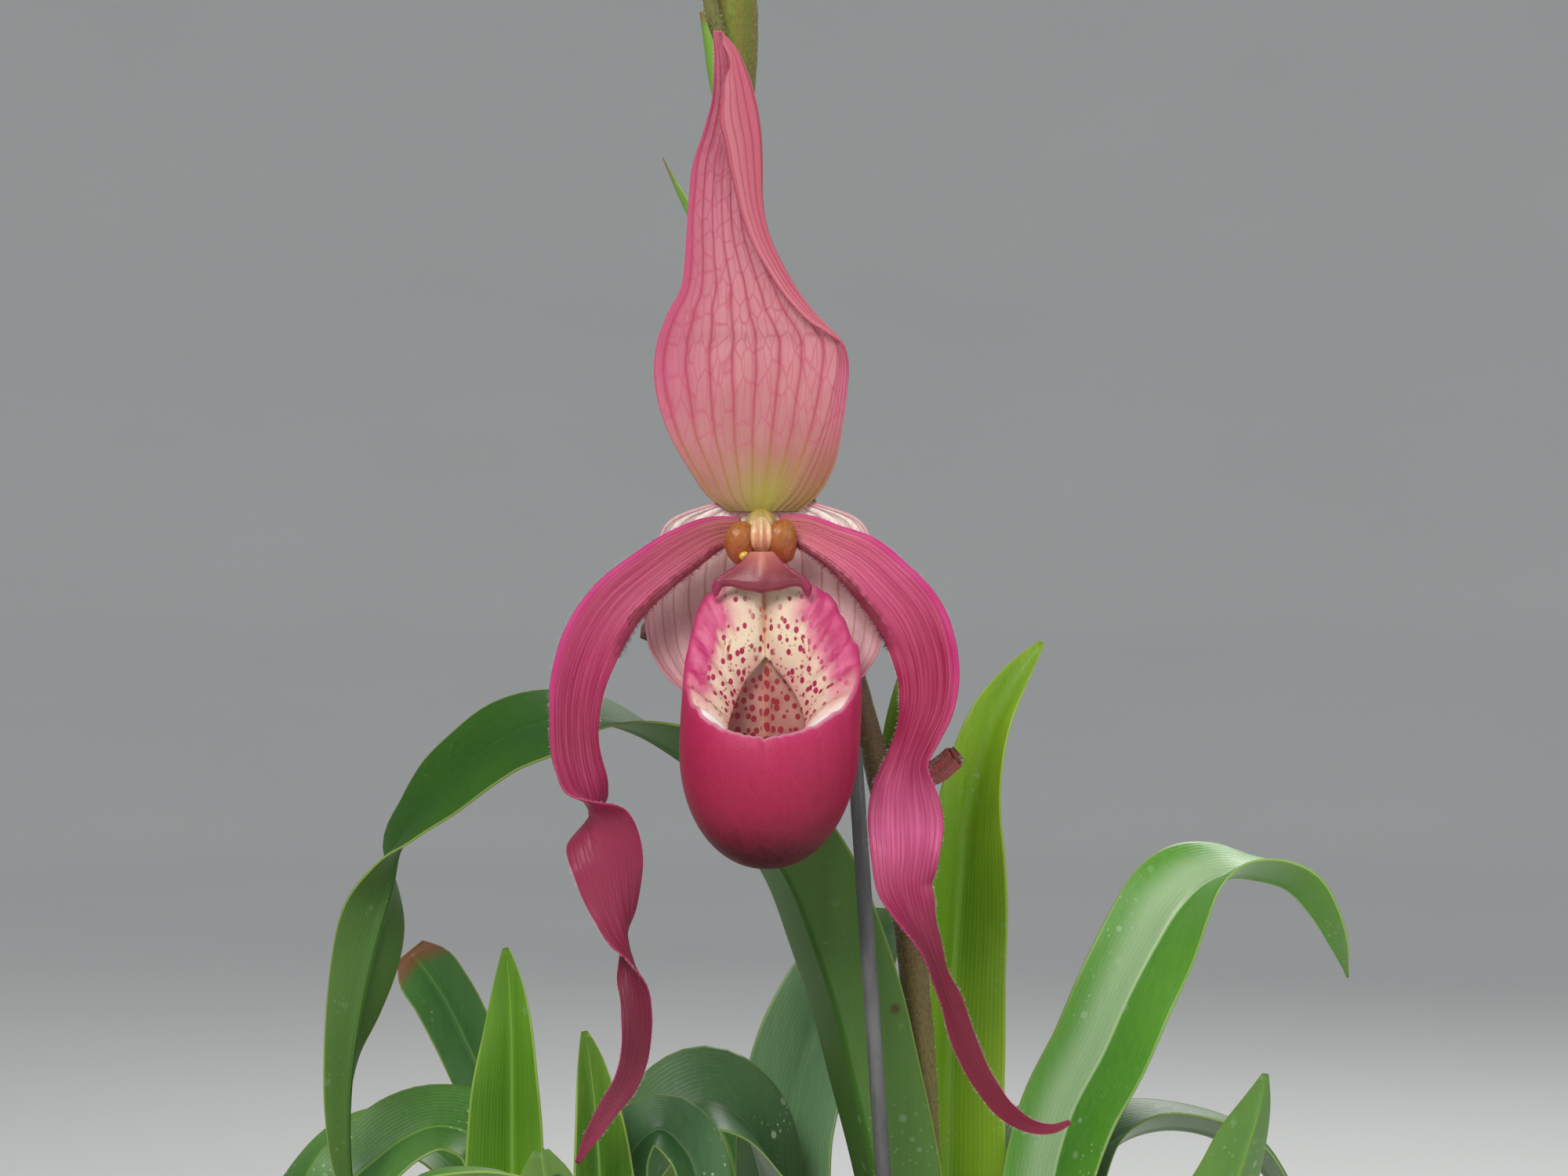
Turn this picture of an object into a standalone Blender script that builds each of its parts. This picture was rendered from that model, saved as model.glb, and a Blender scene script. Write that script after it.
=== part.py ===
# Phragmipedium orchid in a round pot, with one open bloom on a hairy scape.
# Lengths below are in millimetres and become metres at the end of each shape.
# The origin is the centre of the pot's foot. +Z is up and the bloom faces -Y.

import bpy
import bmesh
import math
import numpy as np
from mathutils import Vector

MM = 0.001
GAP = 0.3

# Pot and potting mix
POT_HEIGHT = 132.0
POT_FOOT_RADIUS = 54.0
POT_RIM_RADIUS = 78.0
POT_WALL = 4.5
POT_FLOOR = 6.0
RIM_BAND_HEIGHT = 20.0
RIM_BAND_STEP = 2.6
DRAIN_RADIUS = 5.0
DRAIN_CIRCLE = 30.0
DRAIN_COUNT = 4
BARK_TOP = 119.0
BARK_BUMP = 2.6
BARK_EDGE_DROP = 2.0
BARK_RINGS = 7
BARK_SECTORS = 30
PIT_FLOOR = 110.0
LIP_ROUND = 1.2
RIM_ROUND = 1.5

# Growths: centre of each fan of leaves on the bark, and the direction of its back
GROWTHS = {
    "main": ((29.0, 5.0), (0.0, 1.0)),
    "left": ((-50.0, -8.0), (0.0, 1.0)),
    "front": ((-31.0, -42.0), (-0.35, 0.94)),
    "middle": ((-3.0, 28.0), (0.15, 0.99)),
    "right": ((53.0, 10.0), (0.35, 0.94)),
}

# Millimetres of length that a strip's sampling gives to each degree of twist
TWIST_WEIGHT = 0.06

# Radius of a blade's midrib fold, and the folds between which a base's radius takes over
FOLD_RADIUS = 2.4
PETAL_FOLD_RADIUS = 3.0
FOLD_BLEND = (45.0, 85.0)
LEAF_STATION = 13.0
BASE_RISE = 18.0
BASE_FOLD = 89.0
BRACT_FOLD_RADIUS = 1.6
BRACT_FOLD_BLEND = (40.0, 85.0)
BRACT_CLASP = 12.0
MIN_HALF_WIDTH = 0.4

# Thickness of the living sheets
LEAF_THICKNESS = 1.0
PETAL_THICKNESS = 0.8
SEPAL_THICKNESS = 0.8
POUCH_THICKNESS = 0.9
BRACT_THICKNESS = 0.7
SHIELD_THICKNESS = 1.0

# The bloom's own frame: its middle, with x to the right, y back and z up
BLOOM = Vector((-4.5, -35.0, 370.5))

# Scape: x, y, z and radius
SCAPE = [
    (29.0, 5.0, PIT_FLOOR + GAP, 3.4),
    (29.3, 4.0, 170.0, 3.2),
    (28.6, 3.0, 241.0, 3.1),
    (27.0, 3.0, 273.0, 3.0),
    (25.4, 3.5, 289.0, 2.9),
    (20.0, 4.0, 319.0, 2.7),
    (15.1, 4.5, 338.0, 2.5),
    (6.3, 5.0, 368.0, 2.3),
    (1.0, 5.5, 395.0, 2.1),
    (-3.0, 6.0, 418.0, 2.0),
    (-9.5, 6.0, 455.0, 1.7),
    (-15.0, 5.5, 479.0, 1.5),
    (-17.2, 5.0, 491.0, 1.4),
]

# Stake: foot, top and radius
STAKE_FOOT = Vector((28.6, -22.0, PIT_FLOOR + GAP))
STAKE_TOP = Vector((13.6, -22.0, 330.0))
STAKE_RADIUS = 1.5

# Each leaf: growth, keel distance from the growth's centre (plus is its back), half gap of
# the folded base, then rows of keel x, y, z, half width, roll and fold (degrees)
BASE_HALF_WIDTH = 10.5
LEAVES = {
    "leaf_upright": ("main", 6.2, 4.2, [
        (29.2, 17.0, 150.0, 11.2, 0, 80),
        (31.6, 21.0, 190.0, 12.2, -8, 64),
        (33.2, 21.5, 240.0, 12.8, -32, 51),
        (33.6, 21.0, 262.0, 12.6, -28, 48),
        (34.8, 21.0, 280.0, 12.0, -22, 45),
        (36.7, 20.5, 303.0, 10.6, -8, 45),
        (37.9, 21.0, 314.5, 8.8, -2, 46),
        (40.3, 21.5, 323.0, 7.6, 10, 48),
        (44.0, 22.0, 334.0, 5.8, 15, 50),
        (50.3, 22.5, 344.6, 2.4, 15, 40),
        (53.4, 23.0, 348.8, 0.6, 15, 30),
    ]),
    "leaf_arching": ("main", -9.0, 5.5, [
        (26.5, -5.5, 185.0, 12.4, 12, 62),
        (19.2, -8.0, 240.0, 12.8, 30, 42),
        (14.3, -9.0, 262.0, 13.3, 30, 40),
        (10.9, -10.0, 276.0, 13.5, 30, 38),
        (6.7, -11.0, 289.0, 13.5, 30, 36),
        (1.1, -12.0, 303.0, 13.5, 36, 32),
        (-10.1, -13.0, 317.5, 13.5, 52, 24),
        (-21.5, -13.0, 327.6, 13.5, 76, 14),
        (-30.0, -13.0, 332.4, 13.5, 90, 8),
        (-38.0, -13.0, 334.4, 13.5, 104, 4),
        (-47.0, -13.5, 333.3, 13.5, 115, 1),
        (-54.5, -14.0, 330.6, 13.2, 117, 1),
        (-61.0, -14.5, 325.8, 12.8, 115, 2),
        (-67.4, -15.0, 320.0, 12.2, 112, 4),
        (-72.0, -15.0, 314.8, 11.4, 104, 7),
        (-76.4, -15.0, 308.4, 10.8, 92, 11),
        (-77.6, -15.5, 302.0, 9.6, 66, 14),
        (-79.6, -16.0, 294.0, 8.4, 38, 14),
        (-81.6, -16.0, 286.0, 7.4, 26, 15),
        (-83.6, -16.0, 277.0, 6.6, 36, 18),
        (-85.2, -16.0, 268.0, 5.8, 54, 26),
        (-86.0, -16.0, 257.0, 4.8, 60, 30),
        (-85.6, -16.0, 246.0, 3.6, 62, 30),
        (-83.8, -16.0, 235.0, 0.6, 62, 25),
    ]),
    "leaf_back": ("main", 10.4, 6.9, [
        (30.0, 24.0, 170.0, 12.4, 0, 60),
        (33.0, 43.0, 215.0, 13.4, 2, 40),
        (38.0, 66.0, 238.0, 13.6, 4, 28),
        (44.0, 90.0, 240.0, 13.0, 4, 24),
        (50.0, 110.0, 226.0, 11.0, 4, 24),
        (54.0, 122.0, 206.0, 7.5, 4, 24),
        (56.0, 127.0, 188.0, 0.8, 4, 20),
    ]),
    "leaf_pointed": ("left", 3.0, 1.6, [
        (-51.0, -9.0, 170.0, 11.6, 2, 58),
        (-53.0, -13.0, 225.0, 11.0, 6, 46),
        (-53.5, -14.0, 248.0, 10.2, 10, 44),
        (-53.5, -14.5, 261.0, 9.0, 10, 44),
        (-53.6, -15.0, 273.7, 6.2, 8, 42),
        (-54.2, -15.0, 284.0, 2.8, 6, 36),
        (-54.8, -15.0, 289.2, 0.6, 6, 30),
    ]),
    "leaf_drooping_left": ("left", 5.6, 3.0, [
        (-51.5, 1.0, 185.0, 11.2, -4, 55),
        (-54.5, 4.0, 224.0, 11.2, -18, 40),
        (-58.5, 5.0, 242.0, 11.0, -36, 30),
        (-64.0, 4.5, 249.6, 10.8, -56, 20),
        (-70.5, 3.5, 251.0, 10.6, -64, 16),
        (-76.5, 2.0, 248.8, 10.4, -64, 16),
        (-82.0, 0.5, 244.8, 10.2, -64, 16),
        (-87.0, -1.0, 240.4, 9.4, -58, 18),
        (-91.0, -2.0, 232.0, 7.4, -54, 18),
        (-94.4, -3.0, 221.0, 0.8, -50, 15),
    ]),
    "leaf_rounded": ("left", 8.4, 4.4, [
        (-50.0, 9.0, 180.0, 8.8, 0, 55),
        (-52.2, 15.0, 222.0, 8.0, 0, 42),
        (-55.9, 17.5, 243.0, 7.4, -2, 34),
        (-60.2, 18.5, 255.0, 7.2, -4, 32),
        (-65.0, 19.0, 265.5, 7.2, -6, 32),
        (-70.8, 19.5, 276.6, 7.2, -6, 30),
        (-74.6, 19.5, 282.0, 6.6, -6, 28),
        (-77.2, 19.5, 285.2, 3.6, -6, 26),
    ]),
    "leaf_low_left": ("left", 11.2, 5.8, [
        (-51.0, 20.0, 170.0, 11.6, -6, 55),
        (-56.5, 32.0, 210.0, 11.4, -24, 36),
        (-65.6, 37.0, 232.0, 11.0, -44, 26),
        (-76.5, 38.0, 242.0, 10.6, -60, 18),
        (-88.0, 38.0, 243.6, 10.2, -66, 16),
        (-98.0, 37.0, 238.4, 9.4, -66, 16),
        (-105.0, 36.0, 228.4, 7.2, -60, 16),
        (-109.0, 35.0, 216.0, 0.8, -56, 15),
    ]),
    "leaf_small_pointed": ("front", 3.0, 1.6, [
        (-32.4, -39.5, 170.0, 9.6, 0, 84),
        (-33.2, -39.5, 200.0, 9.8, 2, 64),
        (-34.2, -39.5, 220.0, 9.6, 4, 54),
        (-35.0, -39.0, 246.0, 8.6, 8, 50),
        (-35.6, -39.0, 256.0, 7.0, 8, 50),
        (-36.4, -39.0, 265.0, 4.6, 8, 48),
        (-37.2, -39.0, 271.5, 2.4, 8, 42),
        (-38.0, -39.0, 275.7, 0.6, 8, 36),
    ]),
    "leaf_hooked": ("front", 5.6, 3.0, [
        (-32.8, -34.2, 152.0, 10.4, 0, 68),
        (-32.0, -31.0, 190.0, 10.4, 8, 52),
        (-31.2, -29.5, 222.0, 10.0, 30, 42),
        (-31.0, -29.0, 243.0, 8.6, 52, 30),
        (-28.4, -29.0, 252.0, 7.8, 68, 24),
        (-23.8, -29.5, 255.4, 7.6, 84, 22),
        (-19.2, -30.0, 251.6, 8.0, 84, 26),
        (-16.2, -30.5, 242.6, 6.6, 80, 26),
        (-14.6, -31.0, 231.0, 0.8, 76, 22),
    ]),
    "leaf_short": ("front", -10.8, 5.0, [
        (-28.2, -55.0, 146.0, 9.4, 0, 68),
        (-31.2, -57.4, 176.0, 9.0, 4, 50),
        (-36.0, -58.2, 206.0, 8.6, 8, 40),
        (-40.8, -58.0, 231.0, 7.8, 12, 28),
        (-43.2, -58.2, 245.0, 6.6, 14, 24),
        (-44.4, -58.4, 252.0, 4.6, 14, 20),
        (-45.0, -58.4, 256.0, 1.6, 14, 18),
    ]),
    "leaf_front": ("front", -13.4, 6.6, [
        (-27.4, -60.0, 146.0, 10.8, 2, 64),
        (-29.2, -66.2, 174.0, 11.2, 10, 50),
        (-33.2, -70.6, 206.0, 11.4, 28, 40),
        (-37.2, -73.0, 231.0, 11.6, 50, 30),
        (-42.5, -73.5, 245.0, 11.4, 74, 22),
        (-50.0, -74.0, 250.6, 10.6, 96, 18),
        (-58.0, -74.0, 252.4, 9.0, 104, 18),
        (-65.0, -74.0, 252.0, 6.0, 106, 18),
        (-71.0, -74.0, 250.4, 0.8, 106, 15),
    ]),
    "leaf_middle": ("middle", 3.0, 1.6, [
        (-2.4, 31.6, 168.0, 10.8, 0, 84),
        (-1.0, 33.6, 200.0, 12.0, 0, 62),
        (1.2, 36.0, 234.0, 13.0, 2, 43),
        (1.8, 36.5, 247.0, 13.0, 2, 40),
        (3.8, 37.0, 258.0, 13.0, 0, 38),
        (7.9, 37.5, 269.4, 12.4, -2, 36),
        (14.0, 38.0, 280.0, 10.8, -2, 34),
        (20.0, 38.0, 287.0, 7.4, 0, 30),
        (26.0, 38.0, 291.0, 0.8, 0, 25),
    ]),
    "leaf_broad_left": ("middle", -10.8, 5.0, [
        (-4.6, 13.0, 148.0, 10.8, 2, 68),
        (-4.2, 9.8, 182.0, 12.0, 18, 54),
        (-2.2, 8.8, 218.0, 12.6, 60, 40),
        (-3.6, 7.6, 240.0, 12.8, 86, 30),
        (-8.4, 7.0, 251.6, 13.0, 102, 22),
        (-15.4, 6.5, 255.6, 13.2, 112, 18),
        (-22.0, 6.0, 252.6, 13.0, 112, 18),
        (-27.4, 5.5, 244.2, 11.8, 106, 18),
        (-30.6, 5.0, 232.0, 8.8, 100, 18),
        (-32.4, 4.5, 218.0, 0.8, 96, 15),
    ]),
    "leaf_far_back": ("middle", 5.6, 3.0, [
        (-2.8, 38.4, 150.0, 11.0, 0, 66),
        (-4.4, 47.0, 182.0, 12.2, 0, 50),
        (-8.0, 63.0, 218.0, 13.2, 0, 36),
        (-12.0, 79.0, 234.0, 13.4, 0, 26),
        (-16.0, 97.0, 238.0, 12.6, 0, 22),
        (-20.0, 113.0, 228.0, 10.4, 0, 22),
        (-22.0, 123.0, 212.0, 7.0, 0, 22),
        (-23.0, 128.0, 195.0, 0.8, 0, 20),
    ]),
    "leaf_glossy": ("right", 3.0, 1.6, [
        (54.2, 13.6, 168.0, 10.8, 0, 84),
        (54.8, 17.0, 204.0, 11.2, -2, 60),
        (54.8, 20.4, 234.0, 12.0, -7, 43),
        (59.9, 22.0, 252.2, 12.4, -9, 38),
        (66.2, 23.0, 263.9, 12.6, -9, 38),
        (71.7, 24.0, 275.8, 12.6, -8, 38),
        (77.0, 25.0, 285.4, 12.4, -2, 36),
        (82.6, 26.0, 293.6, 12.0, 12, 33),
        (87.6, 27.0, 298.0, 11.8, 30, 29),
        (93.2, 28.0, 300.2, 11.6, 46, 26),
        (99.2, 29.0, 299.6, 11.2, 55, 25),
        (105.4, 30.0, 297.6, 10.4, 56, 25),
        (110.6, 31.0, 292.4, 8.8, 54, 25),
        (115.0, 32.0, 285.8, 6.2, 50, 22),
        (118.4, 33.0, 278.4, 0.8, 45, 18),
    ]),
    "leaf_low_right": ("right", 5.6, 3.0, [
        (55.8, 19.8, 150.0, 10.8, 2, 66),
        (57.2, 27.0, 182.0, 12.0, 6, 50),
        (59.8, 35.0, 214.0, 12.6, 18, 38),
        (64.0, 39.4, 233.0, 12.8, 32, 30),
        (70.5, 41.0, 242.6, 12.8, 46, 24),
        (79.0, 42.0, 245.6, 12.6, 54, 20),
        (88.5, 42.0, 245.0, 12.0, 56, 20),
        (98.0, 42.0, 240.4, 11.0, 56, 20),
        (106.0, 42.0, 231.0, 8.0, 54, 20),
        (111.0, 42.0, 219.0, 0.8, 50, 16),
    ]),
    "leaf_right_edge": ("right", -10.8, 5.0, [
        (49.6, -3.8, 146.0, 10.8, 0, 68),
        (54.6, -7.0, 172.0, 11.0, -6, 54),
        (69.0, -7.4, 203.0, 11.0, -22, 42),
        (82.4, -6.0, 226.0, 10.0, -30, 40),
        (88.6, -6.5, 239.0, 8.8, -30, 40),
        (92.0, -7.0, 249.0, 6.8, -30, 40),
        (94.4, -7.0, 257.0, 3.6, -30, 36),
        (95.8, -7.0, 263.4, 0.6, -30, 30),
    ]),
}

# Petal rows in the bloom's frame: x, y, z, half width, roll and fold of the two halves
PETAL_LEFT = [
    (-3.5, -1.2, 0.7, 2.4, 0, 10),
    (-8.8, -2.4, -0.2, 3.4, -6, 12),
    (-14.3, -4.0, -3.1, 4.4, -8, 12),
    (-20.9, -5.8, -7.8, 4.9, -8, 10),
    (-27.5, -7.2, -13.8, 5.5, -6, 8),
    (-31.6, -8.4, -20.2, 5.8, 0, 6),
    (-34.3, -9.4, -27.6, 5.5, 6, 6),
    (-35.3, -10.2, -35.6, 5.1, 14, 6),
    (-34.6, -11.0, -43.8, 5.4, 22, 8),
    (-33.3, -11.4, -48.6, 5.9, 36, 14),
    (-32.2, -11.7, -51.6, 6.3, 70, 24),
    (-31.3, -11.9, -54.0, 6.7, 116, 24),
    (-30.3, -12.1, -56.6, 7.0, 152, 10),
    (-29.0, -12.4, -60.6, 7.0, 172, 4),
    (-27.9, -12.8, -65.8, 6.3, 184, 8),
    (-26.7, -13.2, -70.8, 5.3, 200, 16),
    (-25.4, -13.6, -76.0, 4.5, 236, 28),
    (-24.2, -14.0, -80.4, 3.9, 274, 30),
    (-23.3, -14.6, -86.2, 3.1, 326, 18),
    (-23.1, -15.4, -92.7, 2.9, 356, 12),
    (-23.6, -16.2, -98.4, 2.7, 362, 12),
    (-25.5, -17.2, -103.5, 2.4, 364, 12),
    (-28.4, -18.2, -107.7, 2.0, 366, 12),
    (-31.3, -19.2, -112.3, 1.5, 368, 12),
    (-33.9, -20.0, -117.4, 0.5, 368, 12),
]
PETAL_RIGHT = [
    (3.5, -1.2, 0.9, 2.4, 0, 10),
    (8.0, -2.4, 0.3, 3.3, 6, 12),
    (13.5, -4.0, -2.3, 4.1, 8, 12),
    (18.9, -5.4, -5.5, 5.4, 8, 12),
    (23.8, -6.8, -10.2, 6.0, 6, 10),
    (28.2, -8.0, -15.5, 6.6, 0, 8),
    (30.7, -9.0, -20.9, 6.6, -4, 6),
    (31.9, -9.8, -26.8, 6.2, -6, 6),
    (31.7, -10.4, -32.7, 5.7, -10, 6),
    (29.9, -10.8, -38.5, 5.5, -26, 6),
    (28.1, -11.0, -43.5, 5.7, -30, 6),
    (27.4, -11.2, -47.9, 6.7, -14, 6),
    (27.5, -11.4, -53.3, 7.4, -4, 4),
    (27.5, -11.6, -60.0, 6.8, 4, 8),
    (27.0, -12.0, -66.5, 5.5, 22, 14),
    (28.0, -12.6, -70.9, 5.1, 44, 18),
    (30.3, -13.2, -76.2, 4.3, 66, 18),
    (33.2, -14.0, -83.0, 3.1, 70, 14),
    (35.8, -14.8, -88.8, 2.7, 50, 12),
    (38.4, -15.6, -96.3, 2.5, 34, 12),
    (42.0, -16.6, -103.1, 2.1, 24, 12),
    (46.0, -17.4, -108.1, 1.8, 14, 12),
    (50.6, -18.0, -110.8, 1.3, 6, 12),
    (54.6, -18.4, -111.2, 0.9, 0, 12),
    (57.8, -18.6, -110.0, 0.5, 0, 12),
]

# Dorsal sepal rows: x, y, z of the line it folds along, width to its left and to its right,
# and the angle by which the right part is folded over
DORSAL = [
    (2.6, 4.5, 4.1, 8.4, 4.6, 0),
    (5.6, 4.5, 7.1, 15.7, 5.2, 0),
    (8.4, 4.6, 12.1, 22.1, 5.4, 0),
    (11.6, 4.6, 19.7, 29.6, 4.0, 4),
    (13.7, 4.4, 27.2, 34.0, 3.0, 12),
    (14.7, 4.0, 33.2, 35.4, 2.4, 30),
    (14.4, 3.2, 37.2, 34.4, 2.2, 70),
    (12.4, 2.6, 39.7, 31.4, 2.4, 115),
    (9.8, 2.0, 42.4, 27.7, 2.8, 145),
    (6.6, 1.0, 46.7, 22.2, 3.2, 158),
    (3.9, -0.4, 51.4, 18.8, 3.6, 162),
    (1.4, -2.2, 56.8, 15.9, 4.0, 164),
    (0.2, -4.2, 62.6, 14.3, 4.9, 164),
    (0.1, -7.0, 69.7, 13.3, 6.7, 164),
    (-0.1, -9.4, 75.3, 11.1, 7.5, 164),
    (-0.9, -12.0, 80.9, 8.6, 8.1, 164),
    (-2.5, -14.6, 86.2, 6.5, 6.9, 164),
    (-4.6, -16.6, 90.4, 4.3, 4.7, 164),
    (-7.1, -17.8, 93.1, 1.9, 2.1, 164),
]
DORSAL_FOLD_SHARE = 0.62
DORSAL_FOLD_WIDTH = 1.7
DORSAL_CUP = 0.010

# Synsepal rows: y and z of its middle line, half width and how far the sides come forward
SYNSEPAL_X = 0.8
SYNSEPAL_BELL = 1.45
SYNSEPAL = [
    (6.2, 5.8, 9.4, 1.0),
    (6.6, 3.9, 15.4, 2.2),
    (7.0, -1.6, 20.6, 3.6),
    (7.4, -9.0, 22.6, 5.4),
    (7.4, -17.0, 22.8, 6.6),
    (7.0, -24.0, 21.0, 6.4),
    (6.4, -29.5, 16.4, 4.6),
    (5.8, -33.0, 10.4, 2.4),
    (5.4, -35.0, 3.6, 0.6),
]

# Pouch mouth, turning from its top to the right and down: angle, then x, z and y of the
# folded ridge, then x, z and y of the free inner edge of the collar
POUCH_MOUTH = [
    (90, 0.4, -5.8, -3.2, 1.0, -23.6, -7.0),
    (70, 5.2, -8.6, -5.0, 2.8, -25.6, -7.6),
    (50, 12.3, -11.6, -6.6, 5.0, -28.0, -8.8),
    (30, 15.8, -17.5, -9.5, 6.9, -31.0, -11.0),
    (8, 18.5, -24.3, -13.5, 8.2, -34.0, -14.6),
    (-15, 17.0, -31.0, -19.0, 8.7, -36.5, -19.0),
    (-40, 11.2, -35.7, -24.0, 7.6, -38.3, -21.0),
    (-65, 5.2, -37.7, -26.6, 4.4, -39.9, -22.8),
    (-90, 0.9, -38.2, -27.2, 0.9, -40.4, -23.2),
    (-115, -3.5, -37.7, -26.6, -2.7, -39.9, -22.8),
    (-140, -8.9, -35.7, -24.0, -5.8, -38.3, -21.0),
    (-165, -12.7, -31.6, -19.0, -6.2, -36.5, -19.0),
    (-188, -13.8, -26.5, -14.0, -5.5, -34.0, -14.6),
    (-210, -12.6, -19.1, -9.5, -4.4, -31.0, -11.0),
    (-230, -10.3, -12.6, -6.6, -2.9, -28.0, -8.8),
    (-250, -4.1, -8.6, -5.0, -0.8, -25.6, -7.6),
]
POUCH_CENTRE_X = 1.3
POUCH_WIDEST_Z = -40.0
POUCH_FLOOR_Z = -62.8
POUCH_HALF_WIDTH = 16.3
POUCH_HALF_DEPTH = 15.8
POUCH_CENTRE_Y = -13.6
POUCH_TOE_POWER = 2.1
POUCH_SHOULDER = 34.0
POUCH_NARROWING = 0.28
POUCH_SHALLOWING = 0.30
POUCH_LEAN = 2.0
POUCH_WALL_EASE = 1.55
POUCH_COLLAR_BULGE = (0.0, -0.16, 0.14)

# Column body and the two lateral anthers, then the shield in front of them
COLUMN_CENTRE = (0.2, -3.0, -0.6)
COLUMN_RADII = (2.7, 6.2, 3.9)
ANTHER_LEFT = (-3.7, -5.4, -2.8)
ANTHER_RIGHT = (4.1, -5.4, -2.4)
ANTHER_RADII = (2.9, 2.6, 3.2)
SHIELD_X = 0.3
SHIELD_BEND = 1.6
SHIELD_ROWS = [
    (-3.9, -9.8, 2.4, 0.0),
    (-5.4, -10.6, 4.6, 0.4),
    (-7.2, -11.2, 7.2, 1.2),
    (-8.8, -11.6, 9.0, 2.4),
    (-10.0, -11.6, 7.4, 1.6),
    (-11.0, -11.4, 4.2, 0.5),
    (-11.6, -11.2, 1.2, 0.0),
]

# Ovaries and buds: x, y, z and radius, in the row's frame
OVARY = [
    (3.7, 2.2, 364.2, 1.9),
    (1.6, -3.0, 367.0, 2.2),
    (-1.6, -12.0, 369.6, 2.5),
    (-3.8, -22.0, 370.8, 2.5),
    (-4.4, -31.0, 370.6, 2.3),
]
SPENT_OVARY_RIGHT = [
    (20.9, 0.2, 321.0, 1.2),
    (25.4, -2.4, 321.6, 2.0),
    (30.6, -3.0, 323.4, 2.3),
    (34.4, -4.0, 326.6, 2.2),
]
SPENT_OVARY_LEFT = [
    (11.0, 3.0, 341.7, 1.4),
    (3.0, -2.4, 344.0, 2.0),
    (-9.0, -6.0, 346.6, 2.3),
    (-20.0, -8.0, 349.6, 2.3),
    (-28.4, -9.0, 352.2, 2.0),
]
NEXT_BUD = [
    (-4.0, 9.6, 427.0, 1.5),
    (-6.8, 13.0, 440.0, 1.8),
    (-9.0, 14.4, 451.0, 2.4),
    (-10.2, 14.6, 462.0, 4.3),
    (-10.8, 14.6, 474.0, 5.5),
    (-11.2, 14.4, 486.0, 5.1),
    (-11.4, 13.8, 497.0, 3.1),
    (-11.5, 13.4, 502.0, 1.2),
]
LAST_BUD = [
    (-17.35, 5.0, 491.4, 1.1),
    (-18.2, 4.8, 496.0, 1.9),
    (-19.2, 4.4, 501.0, 2.3),
    (-20.2, 4.0, 506.0, 1.6),
    (-20.8, 3.8, 509.0, 0.7),
]

# Bracts: height of the foot on the scape, direction, then rows of distance out, height
# above the foot, half width and fold
BRACTS = {
    "bract_lower": (309.0, 38.0, [
        (3.9, 0.0, 4.2, 88), (4.6, 8.0, 5.4, 74), (7.4, 20.0, 5.8, 60),
        (10.2, 33.0, 4.6, 52), (12.4, 43.0, 2.6, 44), (13.8, 50.0, 0.5, 36)]),
    "bract_middle": (342.0, 105.0, [
        (3.4, 0.0, 3.6, 88), (4.2, 5.0, 4.4, 74), (6.0, 11.0, 4.0, 60),
        (7.6, 17.0, 2.4, 50), (8.8, 22.0, 0.5, 40)]),
    "bract_upper": (398.0, 180.0, [
        (3.0, 0.0, 3.2, 88), (4.2, 8.0, 4.0, 72), (9.0, 20.0, 4.4, 56),
        (15.4, 33.0, 3.6, 48), (20.0, 42.0, 2.0, 42), (23.0, 49.0, 0.5, 36)]),
    "bract_top": (446.0, 215.0, [
        (2.7, 0.0, 2.6, 88), (3.4, 7.0, 3.2, 74), (5.0, 16.0, 3.0, 60),
        (6.6, 24.0, 1.8, 50), (7.8, 30.0, 0.5, 40)]),
}

COLOURS = {
    "terracotta": (0.36, 0.135, 0.065, 0.85),
    "bark": (0.085, 0.045, 0.026, 0.95),
    "scape": (0.13, 0.11, 0.035, 0.8),
    "stake": (0.17, 0.165, 0.18, 0.6),
    "leaf_light": (0.12, 0.30, 0.02, 0.4),
    "leaf": (0.05, 0.19, 0.02, 0.4),
    "leaf_dark": (0.025, 0.09, 0.02, 0.4),
    "petal": (0.43, 0.025, 0.115, 0.5),
    "dorsal": (0.58, 0.22, 0.26, 0.5),
    "synsepal": (0.62, 0.36, 0.38, 0.5),
    "pouch": (0.28, 0.007, 0.045, 0.4),
    "column": (0.70, 0.40, 0.26, 0.4),
    "shield": (0.43, 0.09, 0.13, 0.35),
    "ovary": (0.11, 0.045, 0.035, 0.8),
    "bud": (0.17, 0.22, 0.03, 0.5),
    "bract": (0.08, 0.28, 0.01, 0.5),
}


def clear_scene():
    for old in list(bpy.data.objects):
        bpy.data.objects.remove(old, do_unlink=True)


def new_collection(name):
    collection = bpy.data.collections.new(name)
    bpy.context.scene.collection.children.link(collection)
    return collection


def material(name, colour):
    red, green, blue, roughness = COLOURS[colour]
    surface = bpy.data.materials.new(name)
    surface.use_nodes = True
    shader = surface.node_tree.nodes["Principled BSDF"]
    shader.inputs["Base Color"].default_value = (red, green, blue, 1.0)
    shader.inputs["Roughness"].default_value = roughness
    shader.inputs["Metallic"].default_value = 0.0
    return surface


def add_object(name, mesh_data, surface, collection):
    part = bpy.data.objects.new(name, mesh_data)
    part.data.materials.append(surface)
    collection.objects.link(part)
    return part


def add_modifier(part, kind, **settings):
    modifier = part.modifiers.new(kind.title(), kind)
    for key, value in settings.items():
        setattr(modifier, key, value)
    return modifier


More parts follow.
